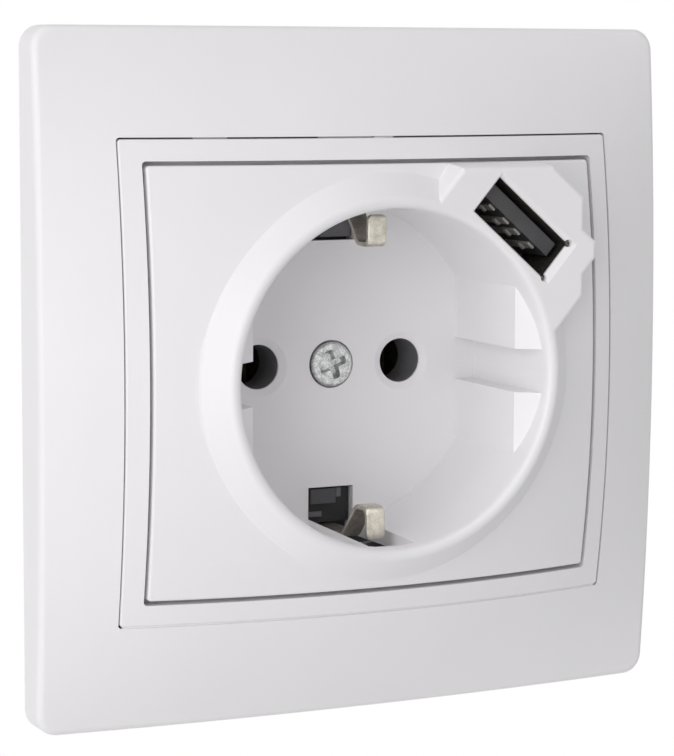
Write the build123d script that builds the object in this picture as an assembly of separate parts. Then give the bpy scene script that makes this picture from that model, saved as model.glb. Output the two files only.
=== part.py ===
from build123d import *
import os
from math import sqrt

# Flush wall socket with one earthed outlet and one USB charging port.
# The pieces are drawn facing +Z: X to the right, Y up, the wall plane at Z = 0.
# stand_up then turns the finished pieces so that up is +Z and the front faces -Y.

# Cover frame
frame_size = 80.8
frame_corner = 2.5
frame_edge = 0.9
frame_inner_corner = 1.2
frame_wall = 2.0
frame_rib = 1.0
rib_pitch = 27.0
rib_clearance = 0.6
window_wall = 1.4

# Domed front, shared by the frame, the trim and the centre plate
rim_corner_height = 4.15
rim_rise_x = 1.8
rim_rise_y = 1.65
crown_rise = 8.4

# Window of the frame and the trim ring in it
trim_face_x = 2.48
trim_face_y = 2.45
trim_corner = 0.45
trim_edge = 0.25
trim_gap = 0.2
trim_depth = 3.0
ledge_width = 1.3
ledge_thickness = 1.5
seat_gap = 0.05
clip_width = 2.4
clip_reach = 0.15
clip_drop = 0.35
clip_root = 1.0

# Centre plate
plate_width = 57.2
plate_height = 49.5
plate_corner = 0.45
plate_edge = 0.35
plate_thickness = 1.8
plate_gap_x = 0.45
plate_gap_y = 0.5
skirt_thickness = 1.4
skirt_depth = 2.5

# Plug well
well_radius = 19.7
well_wall = 1.6
well_floor = -2.9
floor_thickness = 2.2
lip_height = 15.5
lip_roll_width = 0.9
lip_roll_height = 1.3
ring_foot_radius = 24.2
ring_foot_slope = 0.3
lip_round_run = 0.6
lip_round_drop = 0.23
foot_blend_run = 0.6
foot_blend_rise = 0.34
lip_core_top = 12.9
pad_chord = 17.0
pad_front = 12.0
pad_groove = 5.2
pin_spacing = 19.0
pin_hole = 5.4
pin_chamfer = 0.45
pin_lip = 0.7
bush_wall = 0.8
bush_clearance = 0.05
pin_guide_wall = 1.0
earth_window_width = 6.0
earth_window_start = 15.0
earth_window_front = 13.4
earth_window_step = 8.0
earth_window_depth = 20.7

# USB port, on an axis turned clockwise from X
usb_turn = -41.0
usb_reach = 23.47
usb_offset = 0.77
usb_slot_length = 12.2
usb_slot_width = 5.2
usb_slot_lip = 0.8
usb_rim_depth = 0.45
usb_rim_left = 0.3
usb_rim_right = 0.9
usb_rim_inner = 0.25
usb_rim_outer = 0.5
usb_corner_relief = 0.45
usb_relief_depth = 1.9
usb_inner_length = 12.5
usb_inner_width = 5.12
usb_shell_wall = 0.3
usb_shell_corner = 0.6
usb_clearance = 0.12
latch_width = 2.0
latch_pitch = 6.2
latch_front = 3.6
latch_length = 3.6
tongue_length = 11.1
tongue_thickness = 1.84
tongue_back_gap = 0.63
tongue_recess = 1.1
tongue_root = 3.2
contact_pitch_outer = 7.0
contact_pitch_inner = 2.0
contact_width = 1.0
contact_thickness = 0.25
contact_setback = 0.9
contact_bow = 0.5
contact_bow_place = 2.2
boss_left = -9.8
boss_right = 12.5
boss_outer = 31.5
boss_side = 24.3
boss_top_margin = 0.5
boss_draft = 0.9
boss_edge = 0.6
boss_wall = 1.6
usb_collar_wall = 1.2
boss_core_least = 4.0
collar_right = 10.83
collar_outer = 28.62
collar_side = 26.0

# USB board
board_front = 3.8
usb_board_thickness = 1.2
usb_board_left = 8.5
usb_board_right = 27.2
usb_board_low = 6.5
usb_board_top = 23.8
usb_board_corner = 1.0
board_clearance = 0.3
post_radius = 1.9
post_pilot = 0.8
post_x = 24.6
post_high = 20.8
post_low = 9.2
board_screw_head = 1.8
board_screw_head_height = 1.1
board_screw_length = 5.0

# Support plate
support_clearance = 3.0
support_thickness = 1.0
support_corner = 6.0
support_gap = 0.5
box_screw_spacing = 60.0
box_slot_width = 3.8
box_slot_length = 6.4
leg_width = 10.0
leg_length = 15.0
leg_root = 3.0
leg_gap = 0.3
catch_width = 4.0
catch_height = 2.0
catch_drop = 9.6
catch_clearance = 0.3
catch_height_out = 1.1
lead_notch_low = 13.0
lead_notch_high = 20.6

# Insulating base
base_width = 36.0
base_height = 46.0
base_corner = 4.0
base_front = -7.0
base_back = -21.0
contact_cell_width = 8.0
contact_cell_height = 9.0
cell_front_wall = 1.5
pocket_size = 8.4
pocket_x = 12.8
pocket_y = 16.2
pocket_depth = 9.6
wire_hole = 3.6
wire_hole_lift = 0.3
lead_cut = 1.0

# Pin contacts
leaf_thickness = 0.7
leaf_height = 7.0
leaf_gap = 4.2
leaf_flare = 0.8
leaf_flare_length = 2.4
contact_arm_height = 4.8
leaf_front = -9.2
leaf_back = -18.8
tail_width = 2.4
terminal_thickness = 0.8
terminal_size = 7.0

# Earth strip
strip_thickness = 0.6
strip_width = 2.45
strip_bar_width = 8.0
strip_bar_length = 26.0
strip_side = 20.3
hump_start = -0.5
hump_tip = 14.7
hump_peak = 8.0
hump_foot = 18.2
hump_end = 9.3
bend_root = 1.2
bend_start = 1.0
bend_tip = 1.1
earth_arm_low = 7.4
rivet_place = 9.5
rivet_radius = 1.3
rivet_head = 2.2
rivet_head_height = 0.6
rivet_length = 6.0
cap_flange = 1.0
cap_gap = 0.25
cap_set = 0.9

# Screws
cover_head = 2.72
cover_head_height = 1.5
cover_head_proud = 0.55
cover_shank = 1.7
cover_length = 12.0
cover_recess = 1.0
cover_recess_width = 0.75
cover_recess_arm = 3.6
cover_turn = 20
head_crown = 0.5
terminal_head = 3.0
terminal_head_height = 1.8
terminal_shank = 1.6
slot_width = 0.8
slot_depth = 0.8
clamp_size = 7.2
clamp_thickness = 1.4
clamp_corner = 0.8
terminal_sink = 1.0
terminal_tip_gap = 0.3
terminal_turn = 35
terminal_turn_step = 50
screw_clearance = 0.2
thread_gap = 0.05

# Claws
pivot_x = 19.5
pivot_z = -7.6
claw_thickness = 1.2
claw_width = 11.0
claw_reach = 9.1
claw_length = 14.4
claw_tooth = 4.6
claw_fork = 5.2
claw_slot = 4.0
claw_notch = 2.4
claw_notch_depth = 3.0
tooth_cut = 0.9
tooth_count = 3
trunnion_radius = 0.8
trunnion_length = 1.9
trunnion_clearance = 0.25
lug_reach = 1.7
lug_thickness = 1.9
lug_gap = 0.35
claw_screw_x = 26.3
claw_screw_radius = 1.5
claw_screw_head = 2.75
claw_screw_head_height = 2.0
claw_screw_length = 21.0
nut_size = 5.4
nut_thickness = 2.4
nut_corner = 0.5
nut_gap = 0.3
nut_clearance = 0.05

# Power supply behind the base
board_thickness = 1.6
cover_back = -35.0
cover_wall = 1.5
board_gap = 0.4
board_seat = -22.0
rear_screw_place = 18.6
rear_screw_radius = 1.2
rear_screw_head = 2.3
rear_screw_head_height = 1.5
rear_screw_length = 17.0
rear_screw_grip = 5.5
rear_recess_arm = 2.8
rear_recess_width = 0.6
rear_recess = 0.7
vent_count = 5
vent_pitch = 4.0
vent_width = 1.6
vent_length = 14.0
shelf_height = 1.5
rear_post_radius = 2.6
lead_radius = 0.4
lead_x = 14.1
lead_y = 17.1
lead_pitch = 1.2
solder_gap = 0.05
transformer_width = 13.0
transformer_depth = 11.0
transformer_height = 9.0
transformer_core = 5.0
transformer_core_out = 1.2
transformer_core_inset = 1.6
transformer_flange = 1.2
transformer_waist = 1.1
transformer_x = -6.6
transformer_y = 3.4
capacitor_radius = 4.0
capacitor_height = 8.8
capacitor_x = 9.2
capacitor_y = -9.6
capacitor_groove = 0.4
capacitor_groove_place = 1.6
small_capacitor_radius = 2.6
small_capacitor_height = 7.0
small_capacitor_x = 9.4
small_capacitor_y = 4.6
chip_length = 5.0
chip_width = 4.0
chip_height = 1.5
chip_leg = 0.9
chip_leg_width = 0.4
chip_pitch = 1.27
chip_leg_thickness = 0.3
chip_standoff = 0.15
chip_x = -4.0
chip_y = -10.2
rectifier_size = 4.7
rectifier_height = 2.4
rectifier_depth = 4.0
rectifier_bevel = 0.4
rectifier_leg_spacing = 3.2
rectifier_leg_width = 0.8
rectifier_leg_span = 6.0
rectifier_x = -11.4
rectifier_y = -9.8

dome_half = frame_size / 2
floor_back = well_floor - floor_thickness
tube_radius = well_radius + well_wall
opening_width = plate_width + 2 * plate_gap_x
opening_height = plate_height + 2 * plate_gap_y
trim_width = opening_width + 2 * trim_face_x
trim_height = opening_height + 2 * trim_face_y
window_width = trim_width + 2 * trim_gap
window_height = trim_height + 2 * trim_gap
support_size = frame_size - 2 * frame_wall - 2 * support_clearance
support_opening = tube_radius + support_gap
ledge_level = skirt_depth + seat_gap
tall = 60.0
past = 1.0
weld = 0.2
least_corner = 0.4
usb_place = Rot(0, 0, usb_turn) * Pos(usb_offset, usb_reach, 0)
shell_length = usb_inner_length + 2 * usb_shell_wall
shell_width = usb_inner_width + 2 * usb_shell_wall
shell_front = lip_height - usb_slot_lip
cell_x = pin_spacing / 2
bush_radius = pin_hole / 2 + bush_wall
board_back = board_front - usb_board_thickness
rear_board_back = board_seat - board_thickness
terminal_sides = ((-1, -1), (1, -1), (-1, 1))


def dome(x, y):
    """Height of the domed front above the wall plane."""
    flat_x = 1 - (x / dome_half) ** 2
    flat_y = 1 - (y / dome_half) ** 2
    edge = rim_corner_height + rim_rise_x * flat_x + rim_rise_y * flat_y
    return edge + crown_rise * flat_x * flat_y


def dome_slab(near, far):
    """Solid between two copies of the domed front, near and far millimetres behind it."""
    half = dome_half + 2 * frame_edge
    corner = dome(half, half)
    rise_x = dome(0, half) - corner
    rise_y = dome(half, 0) - corner
    crown = dome(0, 0) - corner - rise_x - rise_y
    heights = (
        (corner, corner + 2 * rise_y, corner),
        (corner + 2 * rise_x, corner + 2 * rise_x + 2 * rise_y + 4 * crown, corner + 2 * rise_x),
        (corner, corner + 2 * rise_y, corner),
    )
    net = [
        [(half * (i - 1), half * (j - 1), heights[i][j] - near) for j in range(3)]
        for i in range(3)
    ]
    return extrude(Face.make_bezier_surface(net), amount=far - near, dir=(0, 0, -1))


def prism(outline, low, high):
    """Straight solid on a flat outline, from height low to height high."""
    return Pos(0, 0, low) * extrude(outline, amount=high - low)


def block(x0, x1, y0, y1, z0, z1):
    """Box between two corners."""
    centre = Pos((x0 + x1) / 2, (y0 + y1) / 2, (z0 + z1) / 2)
    return centre * Box(abs(x1 - x0), abs(y1 - y0), abs(z1 - z0))


def rod(x, y, low, high, radius):
    """Round bar along Z."""
    return Pos(x, y, (low + high) / 2) * Cylinder(radius, high - low)


def rectangle_ring(width, height, corner, wall):
    """Flat ring with the given outer size and wall."""
    inner_corner = max(corner - wall, least_corner)
    outer = RectangleRounded(width, height, corner)
    return outer - RectangleRounded(width - 2 * wall, height - 2 * wall, inner_corner)


def turned(points):
    """Solid of revolution about Z from corner points of radius and height."""
    corners = [(r, 0, z) for r, z in points]
    return revolve(make_face(Polyline(corners, close=True)), Axis.Z)


def front_edges(shape):
    """Edges round the domed front face of a shape."""
    return shape.faces().sort_by(Axis.Z)[-1].edges()


def make_outer_frame():
    """Cover frame: domed shell, stepped window wall and ribs between them."""
    outline = RectangleRounded(frame_size, frame_size, frame_corner)
    skin = prism(outline, 0, tall) & dome_slab(0, tall)
    skin = fillet(front_edges(skin), frame_edge)
    inner = frame_size - 2 * frame_wall
    cavity = prism(RectangleRounded(inner, inner, frame_inner_corner), -past, tall)
    frame = skin - (cavity & dome_slab(frame_wall, tall))
    step = trim_depth + ledge_thickness
    wall_outline = rectangle_ring(
        window_width + 2 * window_wall, window_height + 2 * window_wall, trim_corner + window_wall,
        window_wall)
    frame += prism(wall_outline, 0, tall) & dome_slab(frame_wall - weld, step)
    frame -= prism(RectangleRounded(window_width, window_height, trim_corner), -past, tall)
    ledge = rectangle_ring(
        window_width + 2 * weld, window_height + 2 * weld, trim_corner, ledge_width + weld)
    frame += prism(ledge, 0, tall) & dome_slab(trim_depth + seat_gap, step)
    rib_low = support_thickness + rib_clearance
    rib_end = frame_size / 2 - frame_wall + weld
    for side in (-1, 1):
        for place in (-rib_pitch, 0, rib_pitch):
            ribs = block(
                side * (window_width / 2 + window_wall - weld), side * rib_end,
                place - frame_rib / 2, place + frame_rib / 2, rib_low, tall)
            ribs += block(
                place - frame_rib / 2, place + frame_rib / 2,
                side * (window_height / 2 + window_wall - weld), side * rib_end, rib_low, tall)
            frame += ribs & dome_slab(frame_wall - weld, step)
    return frame


def make_inner_frame():
    """Trim ring that lies on the frame's ledge and carries the centre plate's skirt."""
    body = prism(RectangleRounded(trim_width, trim_height, trim_corner), 0, tall) & dome_slab(0, trim_depth)
    body = fillet(front_edges(body), trim_edge)
    body -= prism(RectangleRounded(opening_width, opening_height, plate_corner), -past, tall)
    sleeve_width = trim_width - 2 * ledge_width
    sleeve_height = trim_height - 2 * ledge_width
    sleeve_wall = (sleeve_width - opening_width) / 2 + ledge_width
    sleeve = rectangle_ring(sleeve_width, sleeve_height, trim_corner, sleeve_wall)
    body += prism(sleeve, 0, tall) & dome_slab(ledge_level, ledge_level + ledge_thickness)
    for side in (-1, 1):
        clip = block(
            -clip_width / 2, clip_width / 2,
            side * (trim_height / 2 - clip_root), side * (trim_height / 2 + clip_reach), 0, tall)
        body += clip & dome_slab(clip_drop, trim_depth)
    return body


def well_profile():
    """Flank of the raised lip, from its crest to its foot on the domed plate."""
    crest = (well_radius + lip_roll_width, 0, lip_height)
    foot_height = (dome(ring_foot_radius, 0) + dome(0, ring_foot_radius)) / 2
    foot = (ring_foot_radius, 0, foot_height)
    high = (crest[0] + lip_round_run, 0, lip_height - lip_round_drop)
    low = (ring_foot_radius - foot_blend_run, 0, foot_height + foot_blend_rise)
    slope = (low[0] - high[0], 0, low[2] - high[2])
    flank = Spline(crest, high, tangents=((1, 0, 0), slope))
    flank += Line(high, low)
    flank += Spline(low, foot, tangents=(slope, (1, 0, -ring_foot_slope)))
    root = foot_height - plate_thickness
    rest = Polyline(
        foot, (ring_foot_radius, 0, root), (tube_radius, 0, lip_core_top), (tube_radius, 0, floor_back),
        (0, 0, floor_back), (0, 0, lip_height), crest)
    return make_face(flank + rest)


def well_void():
    """Space inside the plug well, with the rolled edge of its mouth."""
    wall_top = (well_radius, 0, lip_height - lip_roll_height)
    crest = (well_radius + lip_roll_width, 0, lip_height)
    roll = Spline(wall_top, crest, tangents=((0, 0, 1), (1, 0, 0)))
    rest = Polyline(
        wall_top, (well_radius, 0, well_floor), (0, 0, well_floor), (0, 0, lip_height + past),
        (well_radius + lip_roll_width, 0, lip_height + past), crest)
    return revolve(make_face(roll + rest), Axis.Z)


def guide_pads():
    """Flat pads on both sides of the well, with the plug's groove between them."""
    high = lip_height - lip_roll_height
    deep = well_radius + well_wall / 2
    section = Plane.XZ * make_face(Polyline(
        (pad_chord, well_floor - weld), (pad_chord, pad_front), (well_radius, high),
        (deep, high), (deep, well_floor - weld), close=True))
    half = sqrt(deep ** 2 - pad_chord ** 2)
    pad = extrude(section, amount=half - pad_groove / 2, dir=(0, 1, 0))
    pad = (Pos(0, pad_groove / 2, 0) * pad) & rod(0, 0, floor_back, high, deep)
    right = [pad, mirror(pad, Plane.XZ)]
    return right + [mirror(piece, Plane.YZ) for piece in right]


def usb_boss():
    """Flat-topped boss round the USB slot, level with the lip of the well."""
    length = boss_right - boss_left
    turned_block = Pos((boss_right + boss_left) / 2, boss_outer / 2) * Rectangle(length, boss_outer)
    collar = Pos((collar_right + boss_left) / 2, collar_outer / 2) * Rectangle(
        collar_right - boss_left, collar_outer)
    top = plate_height / 2 - boss_top_margin
    body_limit = Pos(boss_side / 2, top / 2) * Rectangle(boss_side, top)
    collar_limit = Pos(collar_side / 2, top / 2) * Rectangle(collar_side, top)
    turn = Rot(0, 0, usb_turn)
    outline = (turn * turned_block & body_limit) + (turn * collar & collar_limit)
    low = dome(boss_side, plate_height / 2) - plate_thickness
    wide = offset(outline, boss_draft, kind=Kind.INTERSECTION)
    boss = loft([Pos(0, 0, low) * wide.face(), Pos(0, 0, lip_height) * outline.face()])
    boss = fillet(front_edges(boss), boss_edge) & dome_slab(-tall, plate_thickness)
    collar_size = (
        shell_length + 2 * (usb_clearance + usb_collar_wall),
        shell_width + 2 * (usb_clearance + usb_collar_wall))
    core = offset(outline, -boss_wall, kind=Kind.INTERSECTION)
    core -= usb_place * Rectangle(*collar_size)
    core -= Circle(ring_foot_radius)
    for patch in core.faces():
        if patch.area > boss_core_least:
            boss -= prism(patch, 0, lip_height - boss_wall)
    return boss


def usb_cutter():
    """Slot with its chamfered rim and corner reliefs, and the seat of the receptacle behind it."""
    slot = prism(Rectangle(usb_slot_length, usb_slot_width), shell_front - past, lip_height + past)
    rim_centre = Pos((usb_rim_right - usb_rim_left) / 2, (usb_rim_outer - usb_rim_inner) / 2, lip_height)
    wide = rim_centre * Rectangle(
        usb_slot_length + usb_rim_left + usb_rim_right, usb_slot_width + usb_rim_inner + usb_rim_outer)
    narrow = Pos(0, 0, lip_height - usb_rim_depth) * Rectangle(usb_slot_length, usb_slot_width)
    rim = loft([narrow.face(), wide.face()])
    seat = prism(
        Rectangle(shell_length + 2 * usb_clearance, shell_width + 2 * usb_clearance),
        board_front - past, shell_front + seat_gap)
    cutter = slot + rim + seat
    for side in (-1, 1):
        cutter += rod(
            usb_slot_length / 2, side * usb_slot_width / 2, lip_height - usb_relief_depth,
            lip_height + past, usb_corner_relief)
    return usb_place * cutter


def make_centre_plate():
    """One moulding: domed plate with skirt, plug well, USB boss, pin guides and board posts."""
    outline = RectangleRounded(plate_width, plate_height, plate_corner)
    face = prism(outline, 0, tall) & dome_slab(0, plate_thickness)
    face = fillet(front_edges(face), plate_edge)
    skirt = rectangle_ring(plate_width, plate_height, plate_corner, skirt_thickness)
    body = face + (prism(skirt, 0, tall) & dome_slab(plate_thickness - weld, skirt_depth))
    body += revolve(well_profile(), Axis.Z) & prism(outline, -tall, tall)
    body += usb_boss() & prism(outline, 0, tall)
    for y in (post_high, post_low):
        post = rod(post_x, y, board_front + seat_gap, lip_height, post_radius)
        body += post & dome_slab(plate_thickness - weld, tall)
    body -= well_void()
    for pad in guide_pads():
        body += pad
    for side in (-1, 1):
        x = side * cell_x
        guide = bush_radius + bush_clearance
        body += rod(x, 0, base_front + seat_gap, floor_back + weld, guide + pin_guide_wall)
        body -= rod(x, 0, base_front - past, well_floor - pin_lip, guide)
        body -= rod(x, 0, base_front - past, lip_height, pin_hole / 2)
        sink = turned((
            (0, well_floor - pin_chamfer), (pin_hole / 2, well_floor - pin_chamfer),
            (pin_hole / 2 + 2 * pin_chamfer, well_floor), (pin_hole / 2 + 2 * pin_chamfer, 0), (0, 0)))
        body -= Pos(x, 0, 0) * sink
        body -= block(
            -earth_window_width / 2, earth_window_width / 2, side * earth_window_start,
            side * (tube_radius + past), floor_back - past, earth_window_step)
        body -= block(
            -earth_window_width / 2, earth_window_width / 2, side * earth_window_start,
            side * earth_window_depth, floor_back - past, earth_window_front)
    body -= rod(0, 0, floor_back - past, 0, cover_shank + screw_clearance)
    head_seat = well_floor + cover_head_proud - cover_head_height
    body -= rod(0, 0, head_seat - seat_gap, 0, cover_head + screw_clearance)
    for y in (post_high, post_low):
        body -= rod(post_x, y, board_front - past, board_front + board_screw_length, post_pilot)
    return body - usb_cutter()


def make_pin_bush(side):
    """Insulating bush that lines a pin hole from the base up to the well's floor."""
    ring = Circle(bush_radius) - Circle(pin_hole / 2)
    bush = prism(ring, base_front + seat_gap, well_floor - pin_lip - seat_gap)
    return Pos(side * cell_x, 0, 0) * bush


def round_screw(radius, head_radius, head_height, length):
    """Screw along Z with its head above Z = 0."""
    tip = radius / 2
    return turned((
        (0, head_height), (head_radius - head_crown, head_height), (head_radius, head_height - head_crown),
        (head_radius, 0), (radius, 0), (radius, tip - length), (radius - tip, -length), (0, -length)))


def make_cover_screw():
    """Cross-recess screw that clamps the centre plate to the base."""
    seat = well_floor + cover_head_proud - cover_head_height
    screw = round_screw(cover_shank, cover_head, cover_head_height, cover_length)
    for size in ((cover_recess_arm, cover_recess_width), (cover_recess_width, cover_recess_arm)):
        screw -= Pos(0, 0, cover_head_height) * Box(*size, 2 * cover_recess)
    return Pos(0, 0, seat) * Rot(0, 0, cover_turn) * screw


def make_usb_shell():
    """Drawn metal shell of the receptacle, open at the front."""
    section = rectangle_ring(shell_length, shell_width, usb_shell_corner, usb_shell_wall)
    shell = prism(section, board_front + seat_gap, shell_front)
    for x in (-latch_pitch / 2, latch_pitch / 2):
        shell -= block(
            x - latch_width / 2, x + latch_width / 2, -shell_width, shell_width,
            shell_front - latch_front - latch_length, shell_front - latch_front)
    return usb_place * shell


def tongue_face():
    """Place of the tongue's contact face across the receptacle."""
    return usb_inner_width / 2 - tongue_back_gap - tongue_thickness


def make_usb_tongue():
    """Black moulding at the back of the receptacle, with its tongue."""
    clear = 2 * usb_clearance
    low = board_front + seat_gap
    root = prism(Rectangle(usb_inner_length - clear, usb_inner_width - clear), low, low + tongue_root)
    face = tongue_face()
    tongue = block(
        -tongue_length / 2, tongue_length / 2, face, face + tongue_thickness,
        low + tongue_root - weld, shell_front - tongue_recess)
    return usb_place * (root + tongue)


def make_usb_contacts():
    """Four flat contacts on the tongue, with bowed tips."""
    face = tongue_face()
    low = board_front + tongue_root + 2 * seat_gap
    high = shell_front - tongue_recess - contact_setback
    contacts = []
    for half in (contact_pitch_outer / 2, contact_pitch_inner / 2):
        for x in (-half, half):
            left = x - contact_width / 2
            right = x + contact_width / 2
            strip = block(left, right, face - contact_thickness, face, low, high)
            crown = Rot(0, 90, 0) * Cylinder(contact_bow, contact_width)
            crown = Pos(x, face - seat_gap, high - contact_bow_place) * crown
            strip += crown & block(left, right, face - past, face, low, high)
            contacts.append(usb_place * strip)
    return Compound(contacts)


def make_usb_board():
    """Corner board under the centre plate, cut round the plug well."""
    width = usb_board_right - usb_board_left
    height = usb_board_top - usb_board_low
    centre = Pos((usb_board_right + usb_board_left) / 2, (usb_board_top + usb_board_low) / 2)
    outline = centre * RectangleRounded(width, height, usb_board_corner)
    outline -= Circle(tube_radius + board_clearance)
    for y in (post_high, post_low):
        outline -= Pos(post_x, y) * Circle(post_pilot + screw_clearance)
    return prism(outline, board_back, board_front)


def make_usb_board_screws():
    """Two screws that hold the corner board to its posts."""
    screw = round_screw(
        post_pilot - thread_gap, board_screw_head, board_screw_head_height, board_screw_length)
    facing_back = Rot(180, 0, 0) * screw
    return Compound([Pos(post_x, y, board_back) * facing_back for y in (post_high, post_low)])


def make_support_plate():
    """Pressed steel plate with box screw slots, claw screw holes and two legs for the base."""
    outline = RectangleRounded(support_size, support_size, support_corner) - Circle(support_opening)
    notch = lead_notch_high - lead_notch_low
    outline -= Pos(lead_notch_low + notch / 2, lead_notch_low + notch / 2) * Rectangle(notch, notch)
    leg_inside = base_height / 2 + leg_gap
    for side in (-1, 1):
        slot = Rot(0, 0, 90) * SlotOverall(box_slot_length, box_slot_width)
        outline -= Pos(0, side * box_screw_spacing / 2) * slot
        outline -= Pos(side * claw_screw_x, 0) * Circle(claw_screw_radius + screw_clearance)
        outline += Pos(0, side * (leg_inside + leg_root / 2)) * Rectangle(leg_width, leg_root)
    plate = prism(outline, 0, support_thickness)
    for side in (-1, 1):
        leg = block(
            -leg_width / 2, leg_width / 2, side * leg_inside, side * (leg_inside + support_thickness),
            -leg_length, weld)
        hole = block(
            -catch_width / 2, catch_width / 2, side * (leg_inside - past), side * (leg_inside + leg_root),
            -catch_drop - catch_height, -catch_drop)
        plate += leg - hole
    return plate


def make_socket_base():
    """Insulating body with contact cells, terminal pockets, wire entries, claw lugs and catches."""
    body = prism(RectangleRounded(base_width, base_height, base_corner), base_back, base_front)
    pocket_floor = base_front - pocket_depth
    pocket_half = pocket_size / 2
    cell_half = contact_cell_height / 2
    open_front = base_front + past
    for side in (-1, 1):
        x = side * cell_x
        body -= rod(x, 0, base_back - past, open_front, pin_hole / 2 + screw_clearance)
        body -= block(
            x - contact_cell_width / 2, x + contact_cell_width / 2, -cell_half, cell_half,
            base_back - past, base_front - cell_front_wall)
        channel = side * (cell_x + leaf_gap / 2 - catch_clearance)
        channel_end = side * (cell_x + leaf_gap / 2 + leaf_thickness + catch_clearance)
        body -= block(channel, channel_end, weld - cell_half, -pocket_y, pocket_floor, open_front)
    for x_side, y_side in terminal_sides:
        x = x_side * pocket_x
        y = y_side * pocket_y
        body -= block(
            x - pocket_half, x + pocket_half, y - pocket_half, y + pocket_half, pocket_floor, open_front)
        entry_level = pocket_floor + terminal_thickness + wire_hole / 2 + wire_hole_lift
        entry = Pos(x, y_side * base_height / 2, entry_level) * Rot(90, 0, 0)
        body -= entry * Cylinder(wire_hole / 2, pocket_size)
    body -= block(
        -pocket_x - pocket_half, -pocket_x + pocket_half, earth_arm_low, pocket_y, pocket_floor, open_front)
    body -= block(
        lead_x - lead_cut, base_width, lead_y - lead_cut, lead_y + lead_pitch + lead_cut,
        base_back - past, open_front)
    for side in (-1, 1):
        body -= rod(
            0, side * rivet_place, base_front - rivet_length, open_front, rivet_radius + thread_gap)
        body -= rod(
            0, side * rear_screw_place, base_back - past, base_back + rear_screw_grip,
            rear_screw_radius + thread_gap)
        body += block(
            catch_clearance - catch_width / 2, catch_width / 2 - catch_clearance,
            side * (base_height / 2 - weld), side * (base_height / 2 + catch_height_out),
            catch_clearance - catch_drop - catch_height, -catch_drop - catch_clearance)
        for y_side in (-1, 1):
            inner = y_side * (claw_width / 2 + lug_gap)
            outer = inner + y_side * lug_thickness
            across = Rot(90, 0, 0)
            place = Pos(side * pivot_x, (inner + outer) / 2, pivot_z)
            body += place * across * Cylinder(lug_reach, lug_thickness)
            body += block(
                side * (base_width / 2 - weld), side * pivot_x, inner, outer,
                pivot_z - lug_reach, pivot_z + lug_reach)
            body -= place * across * Cylinder(trunnion_radius + trunnion_clearance, lug_thickness + past)
    body -= rod(0, 0, base_front - cover_length, open_front, cover_shank + screw_clearance)
    return body


def make_contact(side):
    """Sprung pin contact: two flared leaves, a web with a tail, and the arm to its terminal plate."""
    half = leaf_gap / 2
    bend = leaf_front - leaf_flare_length
    section = Polyline(
        (half + leaf_flare, leaf_front), (half, bend), (half, leaf_back),
        (-half, leaf_back), (-half, bend), (-half - leaf_flare, leaf_front))
    band = make_face(offset(section, leaf_thickness, side=Side.LEFT))
    leaves = extrude(Plane.XZ * band, amount=leaf_height / 2, both=True)
    bottom = base_front - pocket_depth + seat_gap
    top = bottom + terminal_thickness
    arm_end = terminal_size / 2 - pocket_y - leaf_thickness
    x_in = side * (cell_x + half)
    x_out = side * (cell_x + half + leaf_thickness)
    contact = Pos(side * cell_x, 0, 0) * leaves
    contact += block(x_in, x_out, 0, arm_end, bottom, bottom + contact_arm_height)
    contact += block(
        side * cell_x - tail_width / 2, side * cell_x + tail_width / 2, -leaf_thickness / 2,
        leaf_thickness / 2, board_seat + solder_gap, leaf_back)
    x = side * pocket_x
    contact += block(
        x - terminal_size / 2, x + terminal_size / 2, -pocket_y - terminal_size / 2,
        terminal_size / 2 - pocket_y, bottom, top)
    return contact - rod(x, -pocket_y, bottom - past, top + past, terminal_shank + thread_gap)


def make_clamp_plates():
    """Square clamp plates of the three terminals."""
    level = base_front - terminal_sink - terminal_head_height - clamp_thickness
    outline = RectangleRounded(clamp_size, clamp_size, clamp_corner)
    outline -= Circle(terminal_shank + screw_clearance)
    plate = prism(outline, level, level + clamp_thickness)
    return Compound([Pos(i * pocket_x, j * pocket_y, 0) * plate for i, j in terminal_sides])


def make_terminal_screws():
    """Slotted screws of the three terminals."""
    seat = base_front - terminal_sink - terminal_head_height + seat_gap
    length = seat - base_front + pocket_depth - terminal_tip_gap
    screw = round_screw(terminal_shank, terminal_head, terminal_head_height, length)
    screw -= Pos(0, 0, terminal_head_height) * Box(3 * terminal_head, slot_width, 2 * slot_depth)
    screws = []
    for index, (x_side, y_side) in enumerate(terminal_sides):
        turn = Rot(0, 0, terminal_turn + index * terminal_turn_step)
        screws.append(Pos(x_side * pocket_x, y_side * pocket_y, seat) * turn * screw)
    return Compound(screws)


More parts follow.
